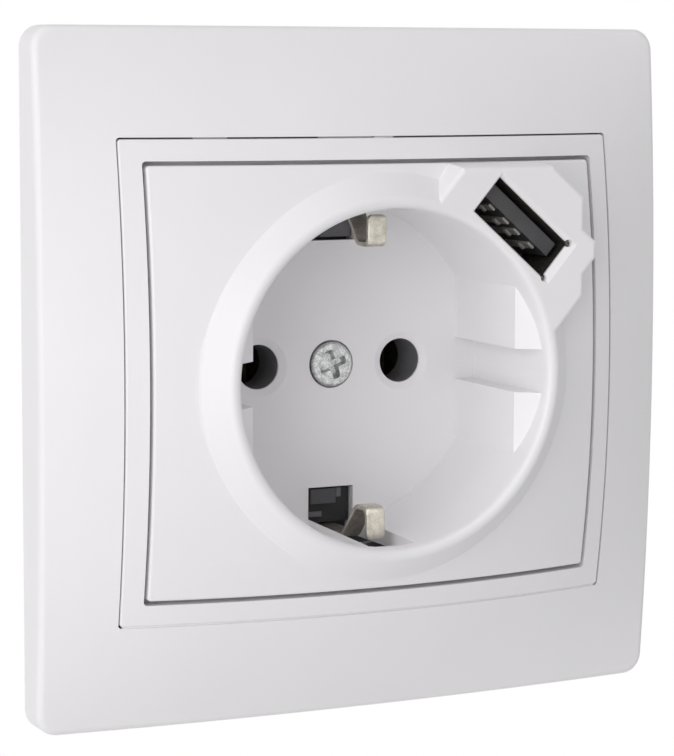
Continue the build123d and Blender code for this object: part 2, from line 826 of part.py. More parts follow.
def make_earth_strip():
    """Folded strip: bar across the base, two sprung humps in the well and the earth terminal."""
    back = base_front + seat_gap
    front = back + strip_thickness
    strip = block(
        -strip_bar_width / 2, strip_bar_width / 2, -strip_bar_length / 2, strip_bar_length / 2, back, front)
    path = FilletPolyline(
        (strip_bar_length / 2 - past, back), (strip_side, back), (strip_side, hump_start),
        (hump_tip + strip_thickness, hump_peak), (hump_foot, hump_end),
        radius=(bend_root, bend_start, bend_tip))
    band = make_face(offset(path, strip_thickness, side=Side.LEFT))
    finger = extrude(Plane.YZ * band, amount=strip_width / 2, both=True)
    strip += finger + mirror(finger, Plane.XZ)
    bottom = base_front - pocket_depth + seat_gap
    left = -pocket_x - terminal_size / 2
    right = left + terminal_size
    wall = pocket_y - clamp_size / 2 - screw_clearance
    strip += block(left, 0, earth_arm_low + seat_gap, wall, back, front)
    strip += block(left, right, wall - terminal_thickness, wall, bottom, front)
    strip += block(
        left, right, wall - terminal_thickness, pocket_y + terminal_size / 2,
        bottom, bottom + terminal_thickness)
    strip -= rod(-pocket_x, pocket_y, bottom - past, bottom + past, terminal_shank + thread_gap)
    strip -= rod(0, 0, back - past, front + past, cover_shank + thread_gap)
    for side in (-1, 1):
        strip -= rod(0, side * rivet_place, back - past, front + past, rivet_radius + thread_gap)
    return strip


def make_earth_rivets():
    """Two rivets that hold the earth strip on the base."""
    seat = base_front + strip_thickness + 2 * seat_gap
    rivet = turned((
        (0, rivet_head_height), (rivet_head - head_crown, rivet_head_height), (rivet_head, 0),
        (rivet_radius, 0), (rivet_radius, -rivet_length), (0, -rivet_length)))
    return Compound([Pos(0, side * rivet_place, seat) * rivet for side in (-1, 1)])


def make_earth_caps():
    """Two stepped blocks that stand in the earth windows and bridge the foot of each sprung hump."""
    side = earth_window_width / 2
    outer = strip_side - strip_thickness - cap_gap
    foot = base_front + seat_gap
    step = floor_back - seat_gap
    cap = block(
        -side - cap_flange, side + cap_flange, earth_window_start - cap_flange, outer, foot, step)
    narrow = side - cap_gap
    cap += block(
        -narrow, narrow, earth_window_start + cap_gap, outer, step - weld, well_floor - cap_set)
    groove = strip_width / 2 + cap_gap
    cap -= block(
        -groove, groove, strip_bar_length / 2, strip_side, base_front, foot + strip_thickness + cap_gap)
    return Compound([cap, mirror(cap, Plane.XZ)])


def make_claw(side):
    """Forked claw on two trunnions: foot under the nut, arm along the base, bent teeth."""
    half = claw_thickness / 2
    edge = claw_width / 2
    claw = block(-half, half, -edge, edge, -claw_length, half)
    claw += block(-half, claw_reach, -edge, edge, -half, half)
    claw += block(-half, claw_tooth, -edge, edge, -claw_length, claw_thickness - claw_length)
    claw = fillet(claw.edges().filter_by(Axis.Y).group_by(Axis.X)[0], half)
    claw -= block(
        claw_screw_x - pivot_x - claw_slot / 2, claw_reach + past, -claw_slot / 2, claw_slot / 2,
        -claw_thickness, claw_thickness)
    claw -= block(
        half, claw_tooth + past, -claw_fork / 2, claw_fork / 2,
        -claw_length - past, claw_notch_depth - claw_length)
    claw -= block(
        -claw_thickness, claw_thickness, -claw_notch / 2, claw_notch / 2,
        -claw_length - past, claw_notch_depth - claw_length)
    tooth_pitch = (claw_width - claw_fork) / 2 / tooth_count
    for y_side in (-1, 1):
        for index in range(1, tooth_count):
            notch = Rot(0, 0, 45) * Box(tooth_cut, tooth_cut, 3 * claw_thickness)
            claw -= Pos(claw_tooth, y_side * (claw_fork / 2 + index * tooth_pitch), -claw_length) * notch
        pin = Rot(90, 0, 0) * Cylinder(trunnion_radius, trunnion_length + weld)
        claw += Pos(0, y_side * (edge + (trunnion_length - weld) / 2), 0) * pin
    claw = Pos(pivot_x, 0, pivot_z) * claw
    return claw if side > 0 else mirror(claw, Plane.YZ)


def make_claw_screw(side):
    """Long slotted screw that turns in the support plate."""
    screw = round_screw(claw_screw_radius, claw_screw_head, claw_screw_head_height, claw_screw_length)
    screw -= Pos(0, 0, claw_screw_head_height) * Box(3 * claw_screw_head, slot_width, 2 * slot_depth)
    return Pos(side * claw_screw_x, 0, support_thickness + seat_gap) * screw


def make_claw_nut(side):
    """Square nut behind the claw's foot."""
    front = pivot_z - claw_thickness / 2 - nut_gap
    outline = RectangleRounded(nut_size, nut_size, nut_corner) - Circle(claw_screw_radius + nut_clearance)
    return Pos(side * claw_screw_x, 0, 0) * prism(outline, front - nut_thickness, front)


def make_usb_leads():
    """Straight solid leads from the rear board to the USB board."""
    leads = []
    for x in (lead_x, lead_x + lead_pitch):
        for y in (lead_y, lead_y + lead_pitch):
            leads.append(rod(x, y, board_seat + solder_gap, board_back - solder_gap, lead_radius))
    return Compound(leads)


def make_power_board():
    """Board of the power supply, behind the base."""
    inset = 2 * (cover_wall + board_gap)
    outline = RectangleRounded(base_width - inset, base_height - inset, base_corner - cover_wall)
    for side in (-1, 1):
        outline -= Pos(0, side * rear_screw_place) * Circle(rear_post_radius + board_gap)
    return prism(outline, rear_board_back, board_seat)


def make_transformer():
    """Small mains transformer: bobbin with flanges in a split core."""
    low = rear_board_back - solder_gap
    end = low - transformer_height
    half_x = transformer_width / 2
    half_y = transformer_depth / 2
    core_y = half_y + transformer_core_out
    bobbin = block(-half_x, half_x, -half_y, half_y, low - transformer_flange, low)
    bobbin += block(-half_x, half_x, -half_y, half_y, end, end + transformer_flange)
    bobbin += block(
        transformer_waist - half_x, half_x - transformer_waist, transformer_waist - half_y,
        half_y - transformer_waist, end, low)
    bobbin += block(
        -transformer_core / 2, transformer_core / 2, -core_y, core_y,
        end + transformer_core_inset, low - transformer_core_inset)
    return Pos(transformer_x, transformer_y, 0) * bobbin


def capacitor(radius, height):
    """Can capacitor with the rolled groove near its seal, standing from Z = 0 to the back."""
    cut = capacitor_groove
    place = -capacitor_groove_place
    return turned((
        (0, 0), (radius - cut, 0), (radius, -cut), (radius, place + cut), (radius - cut, place),
        (radius, place - cut), (radius, cut - height), (radius - cut, -height), (0, -height)))


def make_bulk_capacitor():
    """Reservoir capacitor."""
    can = capacitor(capacitor_radius, capacitor_height)
    return Pos(capacitor_x, capacitor_y, rear_board_back - solder_gap) * can


def make_output_capacitor():
    """Capacitor at the USB output."""
    can = capacitor(small_capacitor_radius, small_capacitor_height)
    return Pos(small_capacitor_x, small_capacitor_y, rear_board_back - solder_gap) * can


def make_controller_chip():
    """Eight-leg controller."""
    low = rear_board_back - solder_gap
    half_x = chip_length / 2
    half_y = chip_width / 2
    knee = low - chip_height / 2
    chip = block(-half_x, half_x, -half_y, half_y, low - chip_height, low - chip_standoff)
    for side in (-1, 1):
        reach = side * (half_y + chip_leg)
        for index in range(4):
            x = (index - 1.5) * chip_pitch
            left = x - chip_leg_width / 2
            right = x + chip_leg_width / 2
            chip += block(left, right, side * (half_y - weld), reach, knee, knee + chip_leg_thickness)
            chip += block(left, right, reach - side * chip_leg_thickness, reach, knee, low)
    return Pos(chip_x, chip_y, 0) * chip


def make_rectifier():
    """Flat bridge rectifier."""
    low = rear_board_back - solder_gap
    half_x = rectifier_size / 2
    half_y = rectifier_depth / 2
    body = block(-half_x, half_x, -half_y, half_y, low - rectifier_height, low - chip_standoff)
    body = chamfer(body.edges().group_by(Axis.Z)[0], rectifier_bevel)
    for side in (-1, 1):
        x = side * rectifier_leg_spacing / 2
        body += block(
            x - rectifier_leg_width / 2, x + rectifier_leg_width / 2, -rectifier_leg_span / 2,
            rectifier_leg_span / 2, low - chip_leg_thickness, low)
    return Pos(rectifier_x, rectifier_y, 0) * body


def make_rear_cover():
    """Moulded cup over the power supply, with two screw posts and vent slots."""
    outline = RectangleRounded(base_width, base_height, base_corner)
    inner = RectangleRounded(
        base_width - 2 * cover_wall, base_height - 2 * cover_wall, base_corner - cover_wall)
    cup = prism(outline, cover_back, base_back - seat_gap)
    cup = fillet(cup.faces().sort_by(Axis.Z)[0].edges(), cover_wall / 2)
    cup -= prism(inner, cover_back + cover_wall, base_back + past)
    shelf = rectangle_ring(
        base_width - cover_wall, base_height - cover_wall, base_corner - cover_wall / 2, cover_wall)
    cup += prism(shelf, rear_board_back - shelf_height, rear_board_back - seat_gap)
    for side in (-1, 1):
        y = side * rear_screw_place
        cup += rod(0, y, cover_back + cover_wall / 2, base_back - seat_gap, rear_post_radius)
        cup -= rod(0, y, cover_back - past, base_back + past, rear_screw_radius + screw_clearance)
        cup -= rod(
            0, y, cover_back - past, cover_back + rear_screw_head_height, rear_screw_head + screw_clearance)
    for index in range(vent_count):
        y = (index - (vent_count - 1) / 2) * vent_pitch
        cup -= block(
            -vent_length / 2, vent_length / 2, y - vent_width / 2, y + vent_width / 2,
            cover_back - past, cover_back + cover_wall + past)
    return cup


def make_rear_cover_screws():
    """Two long screws that hold the rear cover to the base."""
    screw = round_screw(rear_screw_radius, rear_screw_head, rear_screw_head_height, rear_screw_length)
    for size in ((rear_recess_arm, rear_recess_width), (rear_recess_width, rear_recess_arm)):
        screw -= Pos(0, 0, rear_screw_head_height) * Box(*size, 2 * rear_recess)
    facing_back = Rot(180, 0, 0) * screw
    seat = cover_back + rear_screw_head_height - seat_gap
    return Compound([Pos(0, side * rear_screw_place, seat) * facing_back for side in (-1, 1)])


def stand_up(shape):
    """Turn a drawn piece so that its front faces -Y and up is +Z."""
    return Plane.XZ.location * shape


pieces = {
    "outer_frame": make_outer_frame(),
    "inner_frame": make_inner_frame(),
    "centre_plate": make_centre_plate(),
    "cover_screw": make_cover_screw(),
    "usb_shell": make_usb_shell(),
    "usb_tongue": make_usb_tongue(),
    "usb_contacts": make_usb_contacts(),
    "usb_board": make_usb_board(),
    "usb_board_screws": make_usb_board_screws(),
    "usb_leads": make_usb_leads(),
    "support_plate": make_support_plate(),
    "socket_base": make_socket_base(),
    "earth_strip": make_earth_strip(),
    "earth_rivets": make_earth_rivets(),
    "earth_caps": make_earth_caps(),
    "clamp_plates": make_clamp_plates(),
    "terminal_screws": make_terminal_screws(),
    "power_board": make_power_board(),
    "transformer": make_transformer(),
    "bulk_capacitor": make_bulk_capacitor(),
    "output_capacitor": make_output_capacitor(),
    "controller_chip": make_controller_chip(),
    "rectifier": make_rectifier(),
    "rear_cover": make_rear_cover(),
    "rear_cover_screws": make_rear_cover_screws(),
}
for name, side in (("left", -1), ("right", 1)):
    pieces["pin_bush_" + name] = make_pin_bush(side)
    pieces["contact_" + name] = make_contact(side)
    pieces["claw_" + name] = make_claw(side)
    pieces["claw_screw_" + name] = make_claw_screw(side)
    pieces["claw_nut_" + name] = make_claw_nut(side)

os.makedirs("parts", exist_ok=True)
for name, shape in pieces.items():
    export_step(stand_up(shape), "parts/" + name + ".step")
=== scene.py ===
import logging
import math
from dataclasses import dataclass
from enum import Enum
from typing import Any, ClassVar, Dict, Iterable, List, Sequence, Tuple

import bmesh
import bpy
from bmesh.types import BMesh, BMVert
from bpy.types import ID, Material, Node, NodeSocket, NodeTree, Object
from mathutils import Matrix, Vector


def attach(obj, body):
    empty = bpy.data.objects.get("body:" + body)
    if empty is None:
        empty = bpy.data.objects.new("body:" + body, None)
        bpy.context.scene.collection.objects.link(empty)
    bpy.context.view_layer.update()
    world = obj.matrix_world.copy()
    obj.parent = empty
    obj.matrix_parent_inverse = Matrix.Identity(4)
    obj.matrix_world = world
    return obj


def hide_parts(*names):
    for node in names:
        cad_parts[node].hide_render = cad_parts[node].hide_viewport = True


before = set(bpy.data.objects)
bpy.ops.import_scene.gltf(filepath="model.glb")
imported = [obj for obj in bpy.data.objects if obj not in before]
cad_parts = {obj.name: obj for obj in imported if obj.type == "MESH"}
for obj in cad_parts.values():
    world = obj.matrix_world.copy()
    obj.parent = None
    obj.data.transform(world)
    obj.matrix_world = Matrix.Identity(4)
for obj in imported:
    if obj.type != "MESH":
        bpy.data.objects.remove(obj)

# Looks of a flush wall socket with a round plug recess and an angled charging port.
# Sizes are in millimetres in the drawing frame: X right, Y up, Z out of the wall.
# stand() turns a drawn point to the scene: X right, -Y out of the wall, Z up, in metres.

MM = 0.001
# Distance in millimetres that counts as none.
HAIR = 0.001
RIGHT = Vector((1, 0, 0))
UP = Vector((0, 1, 0))
OUT = Vector((0, 0, 1))
HARD_FOLD = math.radians(50)
HEAD_FOLD = math.radians(38)
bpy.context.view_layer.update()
LOG = logging.getLogger("socket")

Pair = Tuple[float, float]
Point = Tuple[float, float, float]
Colour = Tuple[float, float, float, float]


def stand(x: float, y: float, z: float) -> Vector:
    """Place of a drawn point in the scene."""
    return Vector((x, -z, y)) * MM


def linear(colour: str) -> Colour:
    """Linear colour of an sRGB hex value.

    Args:
        colour: six hex digits, with or without a leading hash.

    Returns:
        Red, green, blue and alpha for a shader socket.
    """
    digits = colour.lstrip("#")
    parts = [int(digits[i:i + 2], 16) / 255 for i in (0, 2, 4)]
    curve = [p / 12.92 if p <= 0.04045 else ((p + 0.055) / 1.055) ** 2.4 for p in parts]
    return (curve[0], curve[1], curve[2], 1.0)


def per_mm(size: float) -> float:
    """Texture scale whose pattern repeats about every size millimetres."""
    return 1.0 / (size * MM)


def put(name: str, data: ID) -> Object:
    """Puts a new object into the scene, at the origin.

    Args:
        name: its name.
        data: its mesh, camera or lamp.

    Returns:
        The object.
    """
    piece = bpy.data.objects.new(name, data)
    bpy.context.scene.collection.objects.link(piece)
    return piece


def set_inputs(tree: NodeTree, node: Node, inputs: Dict[Any, Any]) -> None:
    """Sets or links inputs of a node.

    Args:
        tree: the node tree it is in.
        node: the node.
        inputs: by input name or number, a value, the output that feeds it, or a node whose first output does.
    """
    for key, value in inputs.items():
        if isinstance(value, Node):
            value = value.outputs[0]
        if isinstance(value, NodeSocket):
            tree.links.new(value, node.inputs[key])
        else:
            node.inputs[key].default_value = value


def add_node(tree: NodeTree, kind: str, inputs: Dict[Any, Any], **settings: Any) -> Node:
    """Adds one node with its settings, values and links.

    Args:
        tree: the node tree it goes into.
        kind: the node's type name.
        inputs: its inputs, as for set_inputs.
        settings: attributes of the node.

    Returns:
        The new node.
    """
    node = tree.nodes.new(kind)
    for key, value in settings.items():
        setattr(node, key, value)
    set_inputs(tree, node, inputs)
    return node


def blank_material(name: str) -> Tuple[Material, NodeTree, Node, NodeSocket]:
    """New material with only its shader, and the coordinates that its patterns read.

    Args:
        name: the material's name.

    Returns:
        The material, its tree, its shader and the Object coordinates.
    """
    material = bpy.data.materials.new(name)
    material.use_nodes = True
    tree = material.node_tree
    shader = tree.nodes["Principled BSDF"]
    place = add_node(tree, "ShaderNodeTexCoord", {})
    return material, tree, shader, place.outputs["Object"]


@dataclass(frozen=True)
class MouldedPlastic:
    """Moulded plastic with an even colour, a faint orange peel and slow changes of gloss."""

    name: str
    colour: str
    shade: str
    roughness: float
    roughness_change: float
    peel_mm: float
    peel_height_mm: float
    cloud_mm: float = 16.0
    ior: float = 1.5

    def build(self) -> Material:
        """Builds the material.

        Returns:
            The finished material.
        """
        material, tree, shader, place = blank_material(self.name)
        peel = add_node(tree, "ShaderNodeTexNoise", {"Vector": place, "Scale": per_mm(self.peel_mm), "Detail": 3.0})
        cloud = add_node(tree, "ShaderNodeTexNoise", {"Vector": place, "Scale": per_mm(self.cloud_mm), "Detail": 2.0})
        colour = add_node(tree, "ShaderNodeValToRGB", {"Fac": cloud})
        for stop, position, tone in zip(colour.color_ramp.elements, (0.3, 0.7), (self.shade, self.colour)):
            stop.position = position
            stop.color = linear(tone)
        gloss = add_node(tree, "ShaderNodeMapRange", {
            "Value": peel, "From Min": 0.3, "From Max": 0.7,
            "To Min": self.roughness - self.roughness_change, "To Max": self.roughness + self.roughness_change})
        bump = add_node(tree, "ShaderNodeBump", {"Height": peel, "Distance": self.peel_height_mm * MM})
        set_inputs(tree, shader, {"Base Color": colour, "Roughness": gloss, "Normal": bump, "IOR": self.ior})
        return material


@dataclass(frozen=True)
class PlatedMetal:
    """Plated sheet or bar with a mottled coat and drawn or tumbled scratches."""

    name: str
    bright: str
    dull: str
    smooth: float
    rough: float
    spangle_mm: float
    scratch_mm: float
    scratch_length_mm: float
    relief_mm: float
    contrast: float = 0.2
    bare: float = 1.0

    def build(self) -> Material:
        """Builds the material.

        Returns:
            The finished material.
        """
        material, tree, shader, place = blank_material(self.name)
        spangle = add_node(tree, "ShaderNodeTexNoise", {
            "Vector": place, "Scale": per_mm(self.spangle_mm), "Detail": 4.0, "Roughness": 0.65})
        stretched = add_node(tree, "ShaderNodeMapping", {
            "Vector": place,
            "Scale": (per_mm(self.scratch_mm), per_mm(self.scratch_length_mm), per_mm(self.scratch_mm))})
        scratch = add_node(tree, "ShaderNodeTexNoise", {"Vector": stretched, "Scale": 1.0, "Detail": 3.0})
        both = add_node(tree, "ShaderNodeMath", {0: spangle, 1: scratch}, operation="ADD")
        even = add_node(tree, "ShaderNodeMapRange", {
            "Value": both, "From Min": 1.0 - self.contrast, "From Max": 1.0 + self.contrast})
        colour = add_node(tree, "ShaderNodeValToRGB", {"Fac": even})
        colour.color_ramp.elements[0].color = linear(self.dull)
        colour.color_ramp.elements[1].color = linear(self.bright)
        gloss = add_node(tree, "ShaderNodeMapRange", {"Value": even, "To Min": self.rough, "To Max": self.smooth})
        bump = add_node(tree, "ShaderNodeBump", {"Height": both, "Distance": self.relief_mm * MM})
        set_inputs(tree, shader, {"Base Color": colour, "Roughness": gloss, "Normal": bump, "Metallic": self.bare})
        return material


@dataclass(frozen=True)
class CoatedLaminate:
    """Glass laminate board: lacquer over copper, whose runs show as a paler, raised net."""

    name: str
    lacquer: str
    over_copper: str
    run_mm: float
    run_height_mm: float
    weave_mm: float = 0.25
    roughness: float = 0.32

    def build(self) -> Material:
        """Builds the material.

        Returns:
            The finished material.
        """
        material, tree, shader, place = blank_material(self.name)
        runs = add_node(tree, "ShaderNodeTexVoronoi", {
            "Vector": place, "Scale": per_mm(self.run_mm), "Randomness": 0.75}, distance="MANHATTAN")
        weave = add_node(tree, "ShaderNodeTexNoise", {"Vector": place, "Scale": per_mm(self.weave_mm), "Detail": 1.0})
        step = add_node(tree, "ShaderNodeMapRange", {"Value": runs, "From Min": 0.42, "From Max": 0.46})
        colour = add_node(tree, "ShaderNodeValToRGB", {"Fac": step})
        colour.color_ramp.elements[0].color = linear(self.over_copper)
        colour.color_ramp.elements[1].color = linear(self.lacquer)
        height = add_node(tree, "ShaderNodeMath", {0: step, 1: -1.0, 2: weave}, operation="MULTIPLY_ADD")
        bump = add_node(tree, "ShaderNodeBump", {"Height": height, "Distance": self.run_height_mm * MM})
        set_inputs(tree, shader, {"Base Color": colour, "Normal": bump, "Roughness": self.roughness})
        return material


@dataclass(frozen=True)
class BandedSolid:
    """Solid whose parts differ by where they are, such as a can's sleeve, stripe and metal end."""

    name: str
    base: str
    band: str
    end: str
    axis_point: Point
    band_reach_mm: float
    end_depth_mm: float
    bare_end: bool
    grain_mm: float = 0.5
    grain_height_mm: float = 0.02

    def build(self) -> Material:
        """Builds the material.

        Returns:
            The finished material.
        """
        material, tree, shader, place = blank_material(self.name)
        local = add_node(tree, "ShaderNodeMapping", {"Vector": place, "Location": tuple(stand(*self.axis_point) * -1)})
        axes = add_node(tree, "ShaderNodeSeparateXYZ", {"Vector": local})
        grain = add_node(tree, "ShaderNodeTexNoise", {"Vector": place, "Scale": per_mm(self.grain_mm), "Detail": 2.0})
        far = add_node(tree, "ShaderNodeMath", {0: axes.outputs["Z"]}, operation="ABSOLUTE")
        in_band = add_node(tree, "ShaderNodeMath", {0: far, 1: self.band_reach_mm * MM}, operation="GREATER_THAN")
        at_end = add_node(tree, "ShaderNodeMath", {
            0: axes.outputs["Y"], 1: self.end_depth_mm * MM}, operation="GREATER_THAN")
        banded = add_node(tree, "ShaderNodeMix", {
            0: in_band, 6: linear(self.base), 7: linear(self.band)}, data_type="RGBA")
        ended = add_node(tree, "ShaderNodeMix", {
            0: at_end, 6: banded.outputs[2], 7: linear(self.end)}, data_type="RGBA")
        gloss = add_node(tree, "ShaderNodeMapRange", {"Value": grain, "To Min": 0.28, "To Max": 0.5})
        bump = add_node(tree, "ShaderNodeBump", {"Height": grain, "Distance": self.grain_height_mm * MM})
        set_inputs(tree, shader, {"Base Color": ended.outputs[2], "Roughness": gloss, "Normal": bump})
        if self.bare_end:
            set_inputs(tree, shader, {"Metallic": at_end})
        return material


@dataclass(frozen=True)
class SleevedLeads:
    """Soft sleeves of four leads, each in its own colour by its place in the bundle."""

    name: str
    colours: Tuple[str, str, str, str]
    split_x: float
    split_y: float
    grain_mm: float = 0.3
    grain_height_mm: float = 0.01
    roughness: float = 0.45

    def build(self) -> Material:
        """Builds the material.

        Returns:
            The finished material.
        """
        material, tree, shader, place = blank_material(self.name)
        axes = add_node(tree, "ShaderNodeSeparateXYZ", {"Vector": place})
        right = add_node(tree, "ShaderNodeMath", {
            0: axes.outputs["X"], 1: self.split_x * MM}, operation="GREATER_THAN")
        upper = add_node(tree, "ShaderNodeMath", {
            0: axes.outputs["Z"], 1: self.split_y * MM}, operation="GREATER_THAN")
        pairs = [
            add_node(tree, "ShaderNodeMix", {0: right, 6: linear(first), 7: linear(second)}, data_type="RGBA")
            for first, second in (self.colours[:2], self.colours[2:])]
        colour = add_node(tree, "ShaderNodeMix", {
            0: upper, 6: pairs[0].outputs[2], 7: pairs[1].outputs[2]}, data_type="RGBA")
        grain = add_node(tree, "ShaderNodeTexNoise", {"Vector": place, "Scale": per_mm(self.grain_mm), "Detail": 2.0})
        bump = add_node(tree, "ShaderNodeBump", {"Height": grain, "Distance": self.grain_height_mm * MM})
        set_inputs(tree, shader, {"Base Color": colour.outputs[2], "Normal": bump, "Roughness": self.roughness})
        return material


class Stuff(Enum):
    """Finishes of the socket, each with what it gives the eye."""

    # Urea moulding: cool white, satin, almost even; the mould's polish leaves a faint peel.
    WHITE_UREA = MouldedPlastic("white_urea_moulding", "#F5F3F5", "#F3F1F3", 0.42, 0.04, 1.6, 0.0012)
    # Filled thermoset of the base: dark grey, dull and slightly grainy.
    DARK_BASE = MouldedPlastic("filled_dark_thermoset", "#4C4B4E", "#403F42", 0.52, 0.10, 0.35, 0.02)
    # The same thermoset in the pin guides, painted paler than the base as painted light inside the pin holes, and
    # smoother.
    PAINTED_LIGHT_BASE = MouldedPlastic("thermoset_painted_hole_light", "#89888B", "#7A797C", 0.45, 0.08, 0.6, 0.01)
    # Grey of the stops on the earth caps: dull, painted paler than the base as painted light on the raised steps.
    PAINTED_LIGHT_GREY = MouldedPlastic("step_grey_painted_light", "#68676A", "#5C5B5E", 0.5, 0.08, 0.35, 0.015)
    # Black nylon of the tongue: its colour lifted to mid grey as a painted soft sheen.
    BLACK_NYLON = MouldedPlastic("black_glass_nylon", "#4A4A4C", "#3B3B3D", 0.45, 0.08, 0.25, 0.01, 4.0)
    # Black epoxy of the chip and the earth caps: dull, matt, faintly pitted.
    BLACK_EPOXY = MouldedPlastic("black_mould_epoxy", "#1C1C1E", "#161618", 0.6, 0.1, 0.2, 0.012)
    # Drawn nickel of the receptacle: its colour darkened as painted shade for the inside of the port, with long soft
    # draw lines.
    NICKEL = PlatedMetal("drawn_nickel_plate", "#86847F", "#5F5D59", 0.45, 0.60, 0.8, 0.05, 3.0, 0.004)
    # Barrel-plated zinc: pale grey, cloudy and tumbled, so the crown sparkles unevenly.
    ZINC = PlatedMetal("barrel_zinc_steel", "#E2E3E3", "#A4A5A5", 0.30, 0.52, 0.8, 0.18, 0.5, 0.06)
    # Zinc of the pressed sheet, flatter than on the screws.
    ZINC_SHEET = PlatedMetal("zinc_pressed_sheet", "#BFC1C2", "#9FA1A3", 0.30, 0.45, 3.0, 0.08, 5.0, 0.006)
    # Tin over spring brass: warm grey with a soft shine.
    TINNED_BRASS = PlatedMetal("tinned_spring_brass", "#DBD6CB", "#B7B1A4", 0.28, 0.44, 1.1, 0.06, 2.0, 0.006)
    # Bare spring brass of the pin contacts, dulled to a grey brown.
    BRASS = PlatedMetal("dull_spring_brass", "#A39C8C", "#7D7768", 0.30, 0.46, 1.2, 0.06, 3.0, 0.006)
    # Thin gilt on the port's contacts, worn to a pale grey under a dull film.
    GILT = PlatedMetal("worn_gilt_contact", "#CFCCC8", "#B4B1AD", 0.40, 0.55, 0.5, 0.04, 1.0, 0.002, bare=0.3)
    # Solder: bright, soft and slightly frosted.
    SOLDER = PlatedMetal("frosted_solder", "#C6C7C9", "#9C9EA0", 0.22, 0.40, 0.3, 0.1, 0.2, 0.01)
    # Ceramic of the chip parts.
    CERAMIC = MouldedPlastic("fired_chip_ceramic", "#8A7458", "#7C684F", 0.5, 0.1, 0.15, 0.004)
    # Green lacquer over copper runs.
    LAMINATE = CoatedLaminate("lacquered_laminate", "#1E4A2A", "#2D6B3C", 2.4, 0.03)
    # Sleeves of the four leads.
    LEADS = SleevedLeads("sleeved_leads", ("#B3261E", "#E8E6E1", "#2E7D3A", "#1D1D1F"), 14.7, 17.7)
    # Yellow tape round the winding, a grey core past it.
    WINDING = BandedSolid("taped_winding", "#D9B43A", "#4A4744", "#3A3937", (-6.6, 3.4, -23.65), 5.0, 8.0, False)
    # Sleeved cans with bare metal ends.
    LARGE_CAN = BandedSolid("sleeved_large_can", "#20232B", "#B9BCC2", "#BFC0C2", (9.2, -9.6, -23.65), 3.75, 8.6, True)
    SMALL_CAN = BandedSolid("sleeved_small_can", "#20232B", "#B9BCC2", "#BFC0C2", (9.4, 4.6, -23.65), 2.4, 6.8, True)


class Finishes:
    """Makes each finish once and hands it out."""

    def __init__(self) -> None:
        """Starts with no finish made."""
        self._made: Dict[Stuff, Material] = {}

    def get(self, stuff: Stuff) -> Material:
        """Material of a finish, made on first use.

        Args:
            stuff: the finish.

        Returns:
            Its material.
        """
        if stuff not in self._made:
            self._made[stuff] = stuff.value.build()
        return self._made[stuff]

    def dress(self, stuff: Stuff, *nodes: str) -> None:
        """Gives CAD nodes a finish.

        Args:
            stuff: the finish.
            nodes: names of the nodes.
        """
        for name in nodes:
            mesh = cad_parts[name].data
            mesh.materials.clear()
            mesh.materials.append(self.get(stuff))
            LOG.info("dressed %s in %s", name, stuff.value.name)


@dataclass
class SubAssembly:
    """Group of CAD nodes, with the finish of each."""

    finishes: Finishes
    coats: ClassVar[Tuple[Tuple[Stuff, Tuple[str, ...]], ...]] = ()

    def dress(self) -> None:
        """Dresses the group's nodes."""
        for stuff, nodes in self.coats:
            self.finishes.dress(stuff, *nodes)


class Facing(Enum):
    """Which way a screw's head or a board's face looks, as a turn about X."""

    FRONT = math.pi / 2
    BACK = -math.pi / 2


class Recess(Enum):
    """Driver recess of a screw head."""

    CROSS = "cross"
    SLOT = "slot"


def smooth_step(value: float) -> float:
    """Soft step from 0 to 1 as value goes from 0 to 1."""
    t = min(max(value, 0.0), 1.0)
    return t * t * (3 - 2 * t)


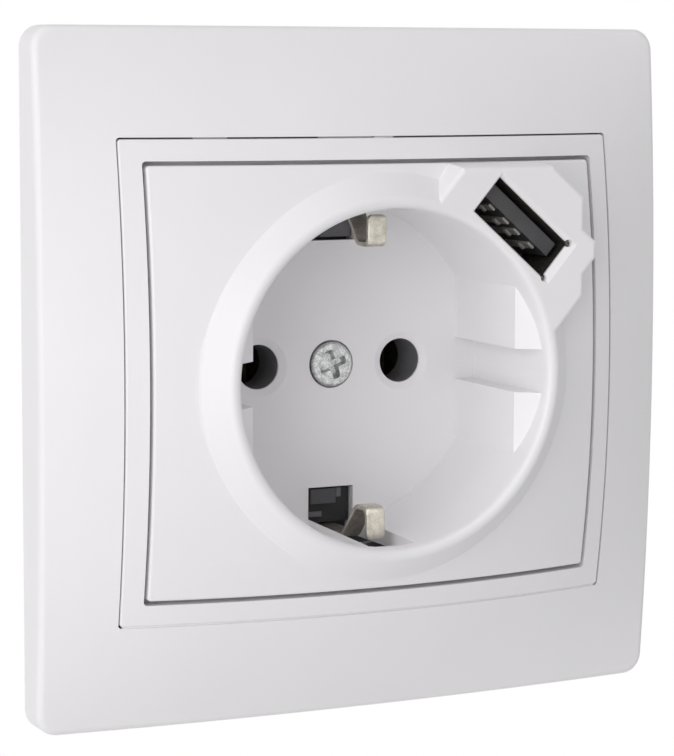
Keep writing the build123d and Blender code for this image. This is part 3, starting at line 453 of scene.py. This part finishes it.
class Tree:
    """Geometry node tree with named inputs, grown on seats and turned into a plain mesh."""

    def __init__(self, name: str, sockets: Dict[str, Sequence[str]]) -> None:
        """Starts a tree.

        Args:
            name: name of the tree.
            sockets: names of the inputs after the geometry, by their kind.
        """
        self.group = bpy.data.node_groups.new(name, "GeometryNodeTree")
        face = self.group.interface
        face.new_socket(name="Seats", in_out="INPUT", socket_type="NodeSocketGeometry")
        self.keys: Dict[str, str] = {}
        for kind, labels in sockets.items():
            for label in labels:
                socket = face.new_socket(name=label, in_out="INPUT", socket_type="NodeSocket" + kind)
                self.keys[label] = socket.identifier
        face.new_socket(name="Geometry", in_out="OUTPUT", socket_type="NodeSocketGeometry")
        self.inputs = self.group.nodes.new("NodeGroupInput").outputs

    def add(self, kind: str, inputs: Dict[Any, Any], **settings: Any) -> Node:
        """Adds one node to the tree."""
        return add_node(self.group, kind, inputs, **settings)

    def spread(self, shape: Node) -> Node:
        """Sets a shape on every seat, turned about its own axis and then to its facing.

        Args:
            shape: node of the geometry, whose own axis is along Z.

        Returns:
            Node of the placed geometry, made real.
        """
        turn = self.add("GeometryNodeInputNamedAttribute", {"Name": "turn"}, data_type="FLOAT")
        spin = self.add("ShaderNodeCombineXYZ", {"Z": turn.outputs["Attribute"]})
        tilt = self.add("ShaderNodeCombineXYZ", {"X": self.inputs["Facing"]})
        spin_turn = self.add("FunctionNodeEulerToRotation", {0: spin})
        tilt_turn = self.add("FunctionNodeEulerToRotation", {0: tilt})
        both = self.add("FunctionNodeRotateRotation", {0: spin_turn, 1: tilt_turn}, rotation_space="GLOBAL")
        placed = self.add("GeometryNodeInstanceOnPoints", {
            "Points": self.inputs["Seats"], "Instance": shape, "Rotation": both})
        return self.add("GeometryNodeRealizeInstances", {"Geometry": placed})

    def close(self, shape: Node) -> None:
        """Ends the tree in the given geometry."""
        self.add("NodeGroupOutput", {0: shape})

    def grow(self, name: str, seats: Sequence[Point], turns: Sequence[float], values: Dict[str, Any]) -> Object:
        """Runs the tree on its seats and keeps the result as a plain mesh.

        Args:
            name: name of the new piece.
            seats: drawn points in millimetres.
            turns: turn about each seat's own axis, in degrees.
            values: value of each named input.

        Returns:
            The new object, at the origin.
        """
        points = bpy.data.meshes.new(name + "_seats")
        points.from_pydata([stand(*seat) for seat in seats], [], [])
        turn = points.attributes.new("turn", "FLOAT", "POINT")
        for index, value in enumerate(turns):
            turn.data[index].value = math.radians(value)
        base = put(name + "_seats", points)
        modifier = base.modifiers.new("grow", "NODES")
        modifier.node_group = self.group
        for label, value in values.items():
            modifier[self.keys[label]] = value
        graph = bpy.context.evaluated_depsgraph_get()
        graph.update()
        mesh = bpy.data.meshes.new_from_object(base.evaluated_get(graph))
        mesh.name = name
        piece = put(name, mesh)
        bpy.data.objects.remove(base)
        return piece


def make_screw_tree() -> Tree:
    """Tree that winds a thread onto a screw's core and sets the screw on every seat.

    Returns:
        The tree.
    """
    tree = Tree("threaded_screws", {
        "Object": ("Core",), "Material": ("Finish",),
        "Float": ("Root Radius", "Thread Depth", "Pitch", "Thread Length", "Thread End", "Facing")})
    rounds = tree.add("ShaderNodeMath", {0: tree.inputs["Thread Length"], 1: tree.inputs["Pitch"]}, operation="DIVIDE")
    helix = tree.add("GeometryNodeCurveSpiral", {
        "Resolution": 28, "Rotations": rounds, "Start Radius": tree.inputs["Root Radius"],
        "End Radius": tree.inputs["Root Radius"], "Height": tree.inputs["Thread Length"], "Reverse": False})
    level = tree.add("GeometryNodeSetCurveNormal", {"Curve": helix}, mode="Z_UP")
    ridge = tree.add("GeometryNodeCurvePrimitiveCircle", {"Resolution": 4, "Radius": tree.inputs["Thread Depth"]})
    thread = tree.add("GeometryNodeCurveToMesh", {"Curve": level, "Profile Curve": ridge, "Fill Caps": True})
    drop = tree.add("ShaderNodeCombineXYZ", {"Z": tree.inputs["Thread End"]})
    lowered = tree.add("GeometryNodeTransform", {"Geometry": thread, "Translation": drop})
    core = tree.add("GeometryNodeObjectInfo", {"Object": tree.inputs["Core"]}, transform_space="ORIGINAL")
    screw = tree.add("GeometryNodeJoinGeometry", {})
    tree.group.links.new(lowered.outputs[0], screw.inputs[0])
    tree.group.links.new(core.outputs["Geometry"], screw.inputs[0])
    placed = tree.spread(screw)
    tree.close(tree.add("GeometryNodeSetMaterial", {"Geometry": placed, "Material": tree.inputs["Finish"]}))
    return tree


def make_solder_tree() -> Tree:
    """Tree that sets a solder fillet on every seat.

    Returns:
        The tree.
    """
    tree = Tree("solder_fillets", {"Float": ("Radius", "Height", "Facing"), "Material": ("Finish",)})
    top = tree.add("ShaderNodeMath", {0: tree.inputs["Radius"], 1: 0.42}, operation="MULTIPLY")
    cone = tree.add("GeometryNodeMeshCone", {
        "Vertices": 20, "Side Segments": 4, "Fill Segments": 2, "Radius Top": top,
        "Radius Bottom": tree.inputs["Radius"], "Depth": tree.inputs["Height"]})
    soft = tree.add("GeometryNodeSetShadeSmooth", {"Geometry": cone, "Shade Smooth": True})
    placed = tree.spread(soft)
    tree.close(tree.add("GeometryNodeSetMaterial", {"Geometry": placed, "Material": tree.inputs["Finish"]}))
    return tree


def make_chip_part_tree() -> Tree:
    """Tree that sets a small ceramic part with soldered ends on every seat.

    Returns:
        The tree.
    """
    tree = Tree("chip_parts", {"Float": ("Length", "Width", "Height", "Cap", "Facing"), "Material": ("Body", "Ends")})
    shapes = tree.add("GeometryNodeJoinGeometry", {})
    whole, wide, high, cap = (tree.inputs[label] for label in ("Length", "Width", "Height", "Cap"))
    room = tree.add("ShaderNodeMath", {0: whole, 1: cap}, operation="SUBTRACT")
    lift, reach, back, thin, slim = (
        tree.add("ShaderNodeMath", {0: full, 1: share}, operation="MULTIPLY")
        for full, share in ((high, 0.5), (room, 0.5), (room, -0.5), (high, 0.92), (wide, 0.94)))
    for length, width, height, place, finish in (
            (room, slim, thin, 0.0, "Body"), (cap, wide, high, reach, "Ends"), (cap, wide, high, back, "Ends")):
        size = tree.add("ShaderNodeCombineXYZ", {"X": length, "Y": width, "Z": height})
        cube = tree.add("GeometryNodeMeshCube", {"Size": size})
        where = tree.add("ShaderNodeCombineXYZ", {"X": place, "Z": lift})
        moved = tree.add("GeometryNodeTransform", {"Geometry": cube, "Translation": where})
        painted = tree.add("GeometryNodeSetMaterial", {"Geometry": moved, "Material": tree.inputs[finish]})
        tree.group.links.new(painted.outputs[0], shapes.inputs[0])
    tree.close(tree.spread(shapes))
    return tree


def join_body(piece: Object, body: str = "socket") -> None:
    """Lets a new piece ride on a body.

    Args:
        piece: the new piece.
        body: body that it moves with.
    """
    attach(piece, body)
    LOG.info("built %s on %s, %d faces", piece.name, body, len(piece.data.polygons))


@dataclass
class ScrewSet:
    """Screws of one CAD node: turned core with its driver recess, wound with a thread."""

    node: str
    seats: Tuple[Point, ...]
    turns: Tuple[float, ...]
    facing: Facing
    recess: Recess
    head_radius: float
    head_height: float
    shank_radius: float
    length: float
    pitch: float
    recess_reach: float
    recess_width: float
    recess_depth: float
    body: str = "socket"
    crown: float = 0.5
    rings: int = 18
    around: int = 64
    recess_edge: float = 0.14
    recess_fall: float = 2.2
    recess_taper: float = 0.25
    thread_share: float = 0.52
    thread_start: float = 0.8
    neck: float = 0.3
    tip_share: float = 0.35
    tip_end: float = 0.02
    least_head: float = 0.1
    crown_steps: int = 6

    def recess_at(self, x: float, y: float) -> float:
        """Depth of the driver recess at a place on the head.

        Args:
            x: place across the head.
            y: place up the head.

        Returns:
            Depth below the crown.
        """
        if self.recess is Recess.SLOT:
            return self.recess_depth * smooth_step((self.recess_width / 2 - abs(y)) / self.recess_edge + 0.5)
        deepest = 0.0
        for along, across in ((abs(x), abs(y)), (abs(y), abs(x))):
            reach = self.recess_reach - along
            wide = self.recess_width / 2 * (1 - self.recess_taper * along / self.recess_reach)
            flank = smooth_step((wide - across) / self.recess_edge + 0.5)
            floor = min(self.recess_depth, self.recess_fall * max(reach, 0.0))
            deepest = max(deepest, floor * flank)
        return deepest

    def profile(self) -> List[Pair]:
        """Radius and height of each ring, from the middle of the head to the tip.

        Returns:
            The rings, the head's seat at height 0.
        """
        flat = self.head_radius - self.crown
        rings = [(flat * index / self.rings, self.head_height) for index in range(1, self.rings + 1)]
        for index in range(1, self.crown_steps + 1):
            angle = math.pi / 2 * index / self.crown_steps
            rings.append((flat + self.crown * math.sin(angle), self.head_height - self.crown * (1 - math.cos(angle))))
        root = self.shank_radius - self.thread_depth()
        tip = -self.length
        return rings + [
            (self.head_radius, 0.0), (self.shank_radius, 0.0), (root, -self.neck), (root, root + tip),
            (root * self.tip_share, tip), (self.tip_end, tip)]

    def thread_depth(self) -> float:
        """Depth of the thread for its pitch."""
        return self.thread_share * self.pitch

    def core(self) -> Object:
        """Turned core of the screw, head up along Z.

        Returns:
            The object.
        """
        rings = self.profile()
        points = [Vector((0, 0, rings[0][1] - self.recess_at(0, 0))) * MM]
        for radius, height in rings:
            for index in range(self.around):
                angle = math.tau * index / self.around
                x = radius * math.cos(angle)
                y = radius * math.sin(angle)
                cut = self.recess_at(x, y) if height > self.head_height - self.crown - HAIR else 0.0
                points.append(Vector((x, y, max(height - cut, self.least_head) if cut else height)) * MM)
        faces = [(0, 1 + i, 1 + (i + 1) % self.around) for i in range(self.around)]
        for ring in range(len(rings) - 1):
            first = 1 + ring * self.around
            for i in range(self.around):
                j = (i + 1) % self.around
                faces.append((first + i, first + self.around + i, first + self.around + j, first + j))
        last = 1 + (len(rings) - 1) * self.around
        faces.append(tuple(last + i for i in reversed(range(self.around))))
        mesh = bpy.data.meshes.new(self.node + "_core")
        mesh.from_pydata(points, [], faces)
        mesh.shade_smooth()
        mesh.set_sharp_from_angle(angle=HEAD_FOLD)
        return put(self.node + "_core", mesh)

    def build(self, tree: Tree, finishes: Finishes) -> None:
        """Builds the screws and lets them stand for their node.

        Args:
            tree: the screw tree.
            finishes: where the finish comes from.
        """
        depth = self.thread_depth()
        root = self.shank_radius - depth
        core = self.core()
        piece = tree.grow(self.node + "_threaded", self.seats, self.turns, {
            "Core": core, "Root Radius": root * MM, "Thread Depth": depth * MM, "Pitch": self.pitch * MM,
            "Thread Length": (self.length - root - self.thread_start) * MM, "Thread End": (root - self.length) * MM,
            "Facing": self.facing.value, "Finish": finishes.get(Stuff.ZINC)})
        bpy.data.objects.remove(core)
        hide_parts(self.node)
        join_body(piece, self.body)


@dataclass
class Station:
    """Place along a bent strip: its middle, its two cross directions and half its width, as drawn."""

    middle: Vector
    across: Vector
    up: Vector
    half: float


def skin_rings(mesh: BMesh, rings: List[List[BMVert]], capped: bool) -> None:
    """Joins each ring of points to the next one, with faces that look outwards.

    Args:
        mesh: mesh that the points are in.
        rings: rings with the same number of points.
        capped: whether a face closes the first and the last ring; otherwise they are joined to each other.
    """
    faces = [mesh.faces.new(ring) for ring in (rings[0], rings[-1])] if capped else []
    for ring, after in zip(rings, rings[1:] if capped else rings[1:] + rings[:1]):
        for i, vertex in enumerate(ring):
            j = (i + 1) % len(ring)
            faces.append(mesh.faces.new((vertex, ring[j], after[j], after[i])))
    bmesh.ops.recalc_face_normals(mesh, faces=faces)


def add_bent_strip(mesh: BMesh, stations: Sequence[Station], thickness: float, edge: float) -> None:
    """Adds a closed strip with soft edges that follows its stations.

    Args:
        mesh: mesh that the strip goes into.
        stations: places along the strip, from end to end.
        thickness: thickness of the sheet in millimetres.
        edge: radius of its four long edges.
    """
    rings = []
    for station in stations:
        ring = []
        for quarter in range(4):
            side = 1 if quarter in (0, 3) else -1
            face = 1 if quarter in (0, 1) else -1
            for step in range(3):
                angle = math.radians(90 * quarter + 45 * step)
                wide = side * (station.half - edge) + edge * math.cos(angle)
                deep = face * (thickness / 2 - edge) + edge * math.sin(angle)
                ring.append(mesh.verts.new(stand(*(station.middle + station.across * wide + station.up * deep))))
        rings.append(ring)
    skin_rings(mesh, rings, True)


def finish_piece(mesh: BMesh, name: str, material: Material, node: str = "") -> None:
    """Turns built geometry into a piece of the socket's fixed body, smooth but for its sharp edges.

    Args:
        mesh: the geometry; it is used up.
        name: name of the new piece.
        material: its finish.
        node: CAD node that it stands for, if any.
    """
    data = bpy.data.meshes.new(name)
    mesh.to_mesh(data)
    mesh.free()
    data.materials.append(material)
    data.shade_smooth()
    data.set_sharp_from_angle(angle=HARD_FOLD)
    piece = put(name, data)
    if node:
        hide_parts(node)
    join_body(piece)


@dataclass
class CoverMouldings(SubAssembly):
    """White mouldings of the front: cover frame, trim ring and centre plate."""

    coats: ClassVar = ((Stuff.WHITE_UREA, ("outer_frame", "inner_frame", "centre_plate")),)
    dome_half: float = 40.4
    corner_height: float = 4.15
    rise_x: float = 1.8
    rise_y: float = 1.65
    crown: float = 8.4
    gap_inner: float = 27.7
    gap_outer: float = 27.9
    rib_thickness: float = 0.5
    rib_edge: float = 0.03
    rib_steps: int = 48
    rib_runs: Tuple[Tuple[float, float, float, float], ...] = (
        (-1, -31.2, 31.2, 0.2), (1, -22.8, -18.9, 0.8), (1, -8.0, -1.3, 0.8))
    slot_rib_x: Pair = (3.03, 4.3)
    slot_rib_root: float = 20.0
    slot_rib_tops: Tuple[Pair, ...] = ((18.85, -2.95), (19.42, 13.4))

    def front(self, x: float, y: float) -> float:
        """Height of the domed front.

        Args:
            x: place across, as drawn.
            y: place up, as drawn.

        Returns:
            Its height over the wall.
        """
        flat_x = 1 - (x / self.dome_half) ** 2
        flat_y = 1 - (y / self.dome_half) ** 2
        return self.corner_height + self.rise_x * flat_x + self.rise_y * flat_y + self.crown * flat_x * flat_y

    def build_stop_rib(self) -> None:
        """Lays the ribs that close the trim ring's gap to the frame, all along the bottom and in two runs above."""
        mesh = bmesh.new()
        half = (self.gap_outer - self.gap_inner) / 2
        for side, left, right, below in self.rib_runs:
            y = side * (self.gap_inner + self.gap_outer) / 2
            stations = []
            for index in range(self.rib_steps + 1):
                x = left + (right - left) * index / self.rib_steps
                level = self.front(x, y) - below - self.rib_thickness / 2
                stations.append(Station(Vector((x, y, level)), UP, OUT, half))
            add_bent_strip(mesh, stations, self.rib_thickness, self.rib_edge)
        finish_piece(mesh, "trim_stop_rib", self.finishes.get(Stuff.WHITE_UREA))

    def build_slot_ribs(self) -> None:
        """Stands a tapered guide rib on the well's wall at each edge of both earth slots."""
        mesh = bmesh.new()
        near, far = self.slot_rib_x
        for side in (-1, 1):
            for edge in (-1, 1):
                rings = [[
                    mesh.verts.new(stand(edge * x, side * y, level))
                    for x, y in ((near, top), (near, self.slot_rib_root), (far, self.slot_rib_root), (far, top))]
                    for top, level in self.slot_rib_tops]
                skin_rings(mesh, rings, True)
        finish_piece(mesh, "earth_slot_ribs", self.finishes.get(Stuff.WHITE_UREA))


@dataclass
class EarthStrip(SubAssembly):
    """Earth strip: bar and terminal as drawn, and two sprung humps folded from soft-edged sheet."""

    coats: ClassVar = ((Stuff.TINNED_BRASS, ("earth_strip", "earth_rivets")),)
    thickness: float = 0.6
    half_width: float = 1.2
    edge: float = 0.14
    tip_corner: float = 0.55
    bar_end: float = 13.0
    folds: Tuple[Pair, ...] = ((12.6, -6.65), (20.0, -6.65), (20.0, 2.55), (15.6, 6.38), (15.6, 9.1), (19.07, 9.2))
    radii: Tuple[float, ...] = (0.9, 0.9, 1.2, 0.8)
    lean: float = 0.35
    bend_steps: int = 10
    tip_steps: int = 8
    slack: float = 0.05
    tip_least: float = 0.1
    same_way: float = 0.999

    def path(self, side: int) -> List[Tuple[Vector, Vector]]:
        """Middle line of one hump with its folds rounded.

        Args:
            side: 1 for the upper hump, -1 for the lower one, which stands a little further back.

        Returns:
            Place and direction of each step, as up and out distances.
        """
        corners = [Vector((up - side * self.lean * (index > 2), out)) for index, (up, out) in enumerate(self.folds)]
        start = corners[0]
        steps = [(start, (corners[1] - start).normalized())]
        for before, corner, after, radius in zip(corners, corners[1:], corners[2:], self.radii):
            inward = (corner - before).normalized()
            onward = (after - corner).normalized()
            turn = inward.angle_signed(onward)
            reach = radius * math.tan(abs(turn) / 2)
            hub = corner - inward * reach + Vector((-inward.y, inward.x)) * math.copysign(radius, -turn)
            for index in range(self.bend_steps + 1):
                bend = Matrix.Rotation(-turn * index / self.bend_steps, 2)
                arm = corner - inward * reach - hub
                arm.rotate(bend)
                way = inward.copy()
                way.rotate(bend)
                steps.append((hub + arm, way))
        onward = (corners[-1] - corners[-2]).normalized()
        for index in range(self.tip_steps + 1):
            left = self.tip_corner * (1 - math.sin(math.pi / 2 * index / self.tip_steps))
            steps.append((corners[-1] - onward * left, onward))
        return steps

    def width_at(self, left: float) -> float:
        """Half the width at a distance from the free end, whose corners are round."""
        rest = self.tip_corner ** 2 - max(self.tip_corner - left, 0.0) ** 2
        return self.half_width - self.tip_corner + math.sqrt(max(rest, self.tip_least ** 2))

    def build(self) -> None:
        """Builds the strip and lets it stand for its node."""
        mesh = bmesh.new()
        mesh.from_mesh(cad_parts["earth_strip"].data)
        bmesh.ops.remove_doubles(mesh, verts=mesh.verts, dist=HAIR * MM)
        finger = [face for face in mesh.faces if all(
            abs(v.co.x) < (self.half_width + self.slack) * MM and abs(v.co.z) > (self.bar_end - self.slack) * MM
            for v in face.verts)]
        bmesh.ops.delete(mesh, geom=finger, context="FACES")
        bmesh.ops.holes_fill(mesh, edges=[edge for edge in mesh.edges if edge.is_boundary])
        for side in (-1, 1):
            steps = self.path(side)
            end = steps[-1][0]
            stations = []
            for place, way in steps:
                near_end = place.y > self.folds[2][1] and way.dot(steps[-1][1]) > self.same_way
                half = self.width_at((end - place).length) if near_end else self.half_width
                stations.append(Station(
                    Vector((0, side * place.x, place.y)), RIGHT, Vector((0, -side * way.y, way.x)), half))
            add_bent_strip(mesh, stations, self.thickness, self.edge)
        finish_piece(mesh, "earth_strip_sprung", self.finishes.get(Stuff.TINNED_BRASS), "earth_strip")


@dataclass
class SocketInsert(SubAssembly):
    """Steel support, base, contacts and pin bushes behind the cover."""

    coats: ClassVar = (
        (Stuff.DARK_BASE, ("socket_base", "rear_cover")), (Stuff.BLACK_EPOXY, ("earth_caps",)),
        # The pin bushes take the paler thermoset: painted light inside the pin holes.
        (Stuff.PAINTED_LIGHT_BASE, ("pin_bush_left", "pin_bush_right")),
        (Stuff.ZINC_SHEET, ("support_plate", "clamp_plates")), (Stuff.BRASS, ("contact_left", "contact_right")))
    pin_x: float = 9.5
    bush_sides: int = 72
    bush_profile: Tuple[Pair, ...] = (
        (2.7, -3.65), (3.5, -3.65), (3.5, -6.95), (2.85, -6.95), (2.85, -9.0), (2.7, -9.0))
    cap_face: float = -3.8
    step_edge: float = 0.12
    cap_steps: Tuple[Tuple[str, Stuff, Tuple[Tuple[float, ...], ...]], ...] = (
        ("earth_cap_ledges", Stuff.DARK_BASE, ((-2.5, 0.95, -15.3, -17.1, 0.5),)),
        ("earth_cap_stops", Stuff.PAINTED_LIGHT_GREY, (
            (0.98, 1.7, -15.3, -16.4, 0.35), (-2.65, -0.85, -18.1, -18.7, 0.3), (-1.4, 2.7, 15.4, 17.8, 0.5))))

    def build_pin_bushes(self) -> None:
        """Turns each bush with the thin nose that lines the base's own hole behind it, so that the bush's paler finish
        carries painted light into the hole.
        """
        turns = [math.tau * index / self.bush_sides for index in range(self.bush_sides)]
        for name, x in (("left", -self.pin_x), ("right", self.pin_x)):
            mesh = bmesh.new()
            rings = [[
                mesh.verts.new(stand(x + radius * math.cos(turn), radius * math.sin(turn), level)) for turn in turns]
                for radius, level in self.bush_profile]
            skin_rings(mesh, rings, False)
            finish_piece(
                mesh, "pin_bush_lined_" + name, self.finishes.get(Stuff.PAINTED_LIGHT_BASE),
                "pin_bush_" + name)

    def build_cap_steps(self) -> None:
        """Raises the small moulded steps on the faces of the earth caps; the stops are painted paler than the ledges
        as painted light.
        """
        for name, stuff, steps in self.cap_steps:
            mesh = bmesh.new()
            for left, right, near, far, proud in steps:
                middle = Vector(((left + right) / 2, 0, self.cap_face + proud / 2))
                stations = [Station(middle + UP * place, RIGHT, OUT, (right - left) / 2) for place in (near, far)]
                add_bent_strip(mesh, stations, proud, self.step_edge)
            finish_piece(mesh, name, self.finishes.get(stuff))


@dataclass
class UsbPort(SubAssembly):
    """Charging port: shell, tongue, contacts, and the board that carries them."""

    coats: ClassVar = (
        (Stuff.NICKEL, ("usb_shell",)), (Stuff.BLACK_NYLON, ("usb_tongue",)), (Stuff.GILT, ("usb_contacts",)),
        (Stuff.LAMINATE, ("usb_board",)), (Stuff.LEADS, ("usb_leads",)))
    board_back: float = 2.6
    lead_seats: Tuple[Pair, ...] = ((14.1, 17.1), (15.3, 17.1), (14.1, 18.3), (15.3, 18.3))
    part_seats: Tuple[Point, ...] = ((19.2, 12.6, 0), (22.6, 15.2, 90), (18.6, 16.0, 90))


@dataclass
class PowerSupply(SubAssembly):
    """Rear board with its transformer, cans and chips, and its solder and chip parts."""

    coats: ClassVar = (
        (Stuff.LAMINATE, ("power_board",)), (Stuff.WINDING, ("transformer",)),
        (Stuff.LARGE_CAN, ("bulk_capacitor",)), (Stuff.SMALL_CAN, ("output_capacitor",)),
        (Stuff.BLACK_EPOXY, ("controller_chip", "rectifier")))
    port: UsbPort
    board_front: float = -22.0
    fillet_radius: float = 0.55
    fillet_height: float = 0.5
    chip_size: Point = (2.0, 1.25, 0.55)
    chip_cap: float = 0.4
    tails: Tuple[Pair, ...] = ((-9.5, 0.0), (9.5, 0.0))
    part_seats: Tuple[Point, ...] = (
        (-4.0, -6.0, 0), (-1.0, -9.0, 90), (4.2, -6.4, 0), (-3.4, 8.2, 90), (3.2, 9.6, 0), (6.4, 12.4, 90))

    def solder(self) -> None:
        """Sets the solder fillets of the leads and contact tails."""
        tree = make_solder_tree()
        leads = self.port.lead_seats
        for name, spots, level, facing in (
                ("rear_solder", self.tails + leads, self.board_front, Facing.FRONT),
                ("port_solder", leads, self.port.board_back, Facing.BACK)):
            piece = tree.grow(name, [(x, y, level) for x, y in spots], [0.0] * len(spots), {
                "Radius": self.fillet_radius * MM, "Height": self.fillet_height * MM, "Facing": facing.value,
                "Finish": self.finishes.get(Stuff.SOLDER)})
            join_body(piece)

    def mount_parts(self) -> None:
        """Sets the chip parts on both boards."""
        tree = make_chip_part_tree()
        length, width, height = (size * MM for size in self.chip_size)
        for name, spots, level, facing in (
                ("rear_chip_parts", self.part_seats, self.board_front, Facing.FRONT),
                ("port_chip_parts", self.port.part_seats, self.port.board_back, Facing.BACK)):
            piece = tree.grow(name, [(x, y, level) for x, y, _ in spots], [turn for _, _, turn in spots], {
                "Length": length, "Width": width, "Height": height, "Cap": self.chip_cap * MM, "Facing": facing.value,
                "Body": self.finishes.get(Stuff.CERAMIC), "Ends": self.finishes.get(Stuff.SOLDER)})
            join_body(piece)


@dataclass
class ClawPair(SubAssembly):
    """Two claws with their nuts and long screws."""

    coats: ClassVar = (
        (Stuff.ZINC_SHEET, ("claw_left", "claw_right")), (Stuff.ZINC, ("claw_nut_left", "claw_nut_right")))
    screw_x: float = 26.3
    screw_seat: float = 1.05

    def screws(self) -> List[ScrewSet]:
        """Long slotted screws of both claws.

        Returns:
            One set for each side.
        """
        return [ScrewSet(
            name, ((x, 0, self.screw_seat),), (0,), Facing.FRONT, Recess.SLOT, head_radius=2.75, head_height=2.0,
            shank_radius=1.5, length=21.0, pitch=0.5, recess_reach=2.75, recess_width=0.8, recess_depth=0.8, body=name)
            for name, x in (("claw_screw_left", -self.screw_x), ("claw_screw_right", self.screw_x))]


def fixed_screws() -> List[ScrewSet]:
    """Screws that stay with the socket: cover, terminals, rear cover and charging board.

    Returns:
        One set for each CAD node.
    """
    return [
        ScrewSet(
            "cover_screw", ((0, 0, -3.85),), (20,), Facing.FRONT, Recess.CROSS, head_radius=2.72,
            head_height=1.5, shank_radius=1.7, length=12.0, pitch=0.6, recess_reach=1.8, recess_width=1.0,
            recess_depth=0.85, crown=0.45, rings=30, around=112),
        ScrewSet(
            "terminal_screws", ((-12.8, -16.2, -9.75), (12.8, -16.2, -9.75), (-12.8, 16.2, -9.75)),
            (35, 85, 135), Facing.FRONT, Recess.SLOT, head_radius=3.0, head_height=1.8, shank_radius=1.6, length=6.55,
            pitch=0.6, recess_reach=3.0, recess_width=0.8, recess_depth=0.8),
        ScrewSet(
            "rear_cover_screws", ((0, -18.6, -33.55), (0, 18.6, -33.55)), (12, 50), Facing.BACK,
            Recess.CROSS, head_radius=2.3, head_height=1.5, shank_radius=1.2, length=17.0, pitch=0.5,
            recess_reach=1.5, recess_width=0.75, recess_depth=0.9),
        ScrewSet(
            "usb_board_screws", ((24.6, 20.8, 2.6), (24.6, 9.2, 2.6)), (30, 75), Facing.BACK,
            Recess.CROSS, head_radius=1.8, head_height=1.1, shank_radius=0.75, length=5.0, pitch=0.4,
            recess_reach=1.2, recess_width=0.55, recess_depth=0.6, crown=0.4)]


@dataclass
class Studio:
    """Camera at the photograph's place, soft light from the left, white floor and surroundings."""

    eye: Point = (-0.143094, -0.294233, 0.0374)
    target: Point = (-0.000601, 0.0, -0.001368)
    roll: float = 0.239
    lens: float = 130.62
    floor_level: float = -0.30
    floor_half: float = 4.0
    world_light: float = 0.41
    lamps: Tuple[Tuple[str, Point, float, float], ...] = (
        ("key", (-0.82, -0.55, 0.14), 0.9, 5.15), ("top", (0.0, -0.42, 0.91), 0.9, 1.65))

    def set_camera(self) -> None:
        """Sets the camera."""
        data = bpy.data.cameras.new("photo_camera")
        data.lens = self.lens
        data.sensor_width = 36.0
        data.clip_start = 0.01
        camera = put("photo_camera", data)
        look = Vector(self.target) - Vector(self.eye)
        turn = look.to_track_quat("-Z", "Y").to_matrix().to_4x4()
        camera.matrix_world = Matrix.Translation(self.eye) @ turn @ Matrix.Rotation(math.radians(self.roll), 4, "Z")
        bpy.context.scene.camera = camera

    def hang(self, name: str, place: Point, size: float, power: float) -> None:
        """Hangs one soft lamp that looks at the socket.

        Args:
            name: name of the lamp.
            place: where it hangs, in metres.
            size: width and height in metres.
            power: power in watts.
        """
        data = bpy.data.lights.new(name, "AREA")
        data.shape = "SQUARE"
        data.size = size
        data.energy = power
        lamp = put(name, data)
        lamp.location = place
        lamp.rotation_euler = (-Vector(place)).to_track_quat("-Z", "Y").to_euler()

    def white_for_camera(self, tree: NodeTree, lit: Node, kind: str) -> Node:
        """Mix that shows plain white to the camera, mirrors and glass, and lights the rest.

        Args:
            tree: tree of the world or the floor.
            lit: shader that lights the socket.
            kind: node type of the white shader.

        Returns:
            The mixing node.
        """
        path = add_node(tree, "ShaderNodeLightPath", {})
        seen = path.outputs["Is Camera Ray"]
        for label in ("Is Glossy Ray", "Is Transmission Ray"):
            seen = add_node(tree, "ShaderNodeMath", {0: seen, 1: path.outputs[label]}, operation="MAXIMUM")
        white = add_node(tree, kind, {"Color": (1, 1, 1, 1), "Strength": 1.0})
        return add_node(tree, "ShaderNodeMixShader", {0: seen, 1: lit, 2: white})

    def set_world(self) -> None:
        """Sets the even light of the surroundings."""
        world = bpy.data.worlds.new("soft_white")
        world.use_nodes = True
        tree = world.node_tree
        lit = tree.nodes["Background"]
        set_inputs(tree, lit, {"Color": (1, 1, 1, 1), "Strength": self.world_light})
        mix = self.white_for_camera(tree, lit, "ShaderNodeBackground")
        set_inputs(tree, tree.nodes["World Output"], {"Surface": mix})
        bpy.context.scene.world = world

    def set_floor(self) -> None:
        """Lays the plain pale floor."""
        mesh = bpy.data.meshes.new("floor")
        mesh.from_pydata([
            (x * self.floor_half, y * self.floor_half, self.floor_level)
            for x, y in ((-1, -1), (1, -1), (1, 1), (-1, 1))], [], [(0, 1, 2, 3)])
        floor = put("floor", mesh)
        material, tree, shader, _ = blank_material("pale_floor")
        set_inputs(tree, shader, {"Base Color": linear("#F4F4F4"), "Roughness": 0.8})
        mix = self.white_for_camera(tree, shader, "ShaderNodeEmission")
        set_inputs(tree, tree.nodes["Material Output"], {"Surface": mix})
        mesh.materials.append(material)

    def build(self) -> None:
        """Sets up camera, lamps, surroundings and floor."""
        bpy.context.scene.view_settings.view_transform = "Standard"
        self.set_camera()
        self.set_world()
        self.set_floor()
        for lamp in self.lamps:
            self.hang(*lamp)
        LOG.info("studio set")


def corners(box: Iterable[Vector]) -> List[List[float]]:
    """Plain lists of a box's two corners."""
    return [[float(value) for value in corner] for corner in box]


def main() -> None:
    """Builds the socket's pieces in order and dresses them."""
    logging.basicConfig(level=logging.INFO, format="%(name)s: %(message)s")
    finishes = Finishes()
    cover = CoverMouldings(finishes)
    insert = SocketInsert(finishes)
    strip = EarthStrip(finishes)
    port = UsbPort(finishes)
    supply = PowerSupply(finishes, port)
    claws = ClawPair(finishes)
    for group in (cover, insert, strip, port, supply, claws):
        group.dress()
    cover.build_stop_rib()
    cover.build_slot_ribs()
    insert.build_pin_bushes()
    insert.build_cap_steps()
    strip.build()
    tree = make_screw_tree()
    for screws in fixed_screws() + claws.screws():
        screws.build(tree, finishes)
    supply.solder()
    supply.mount_parts()
    Studio().build()


if __name__ == "__main__":
    main()
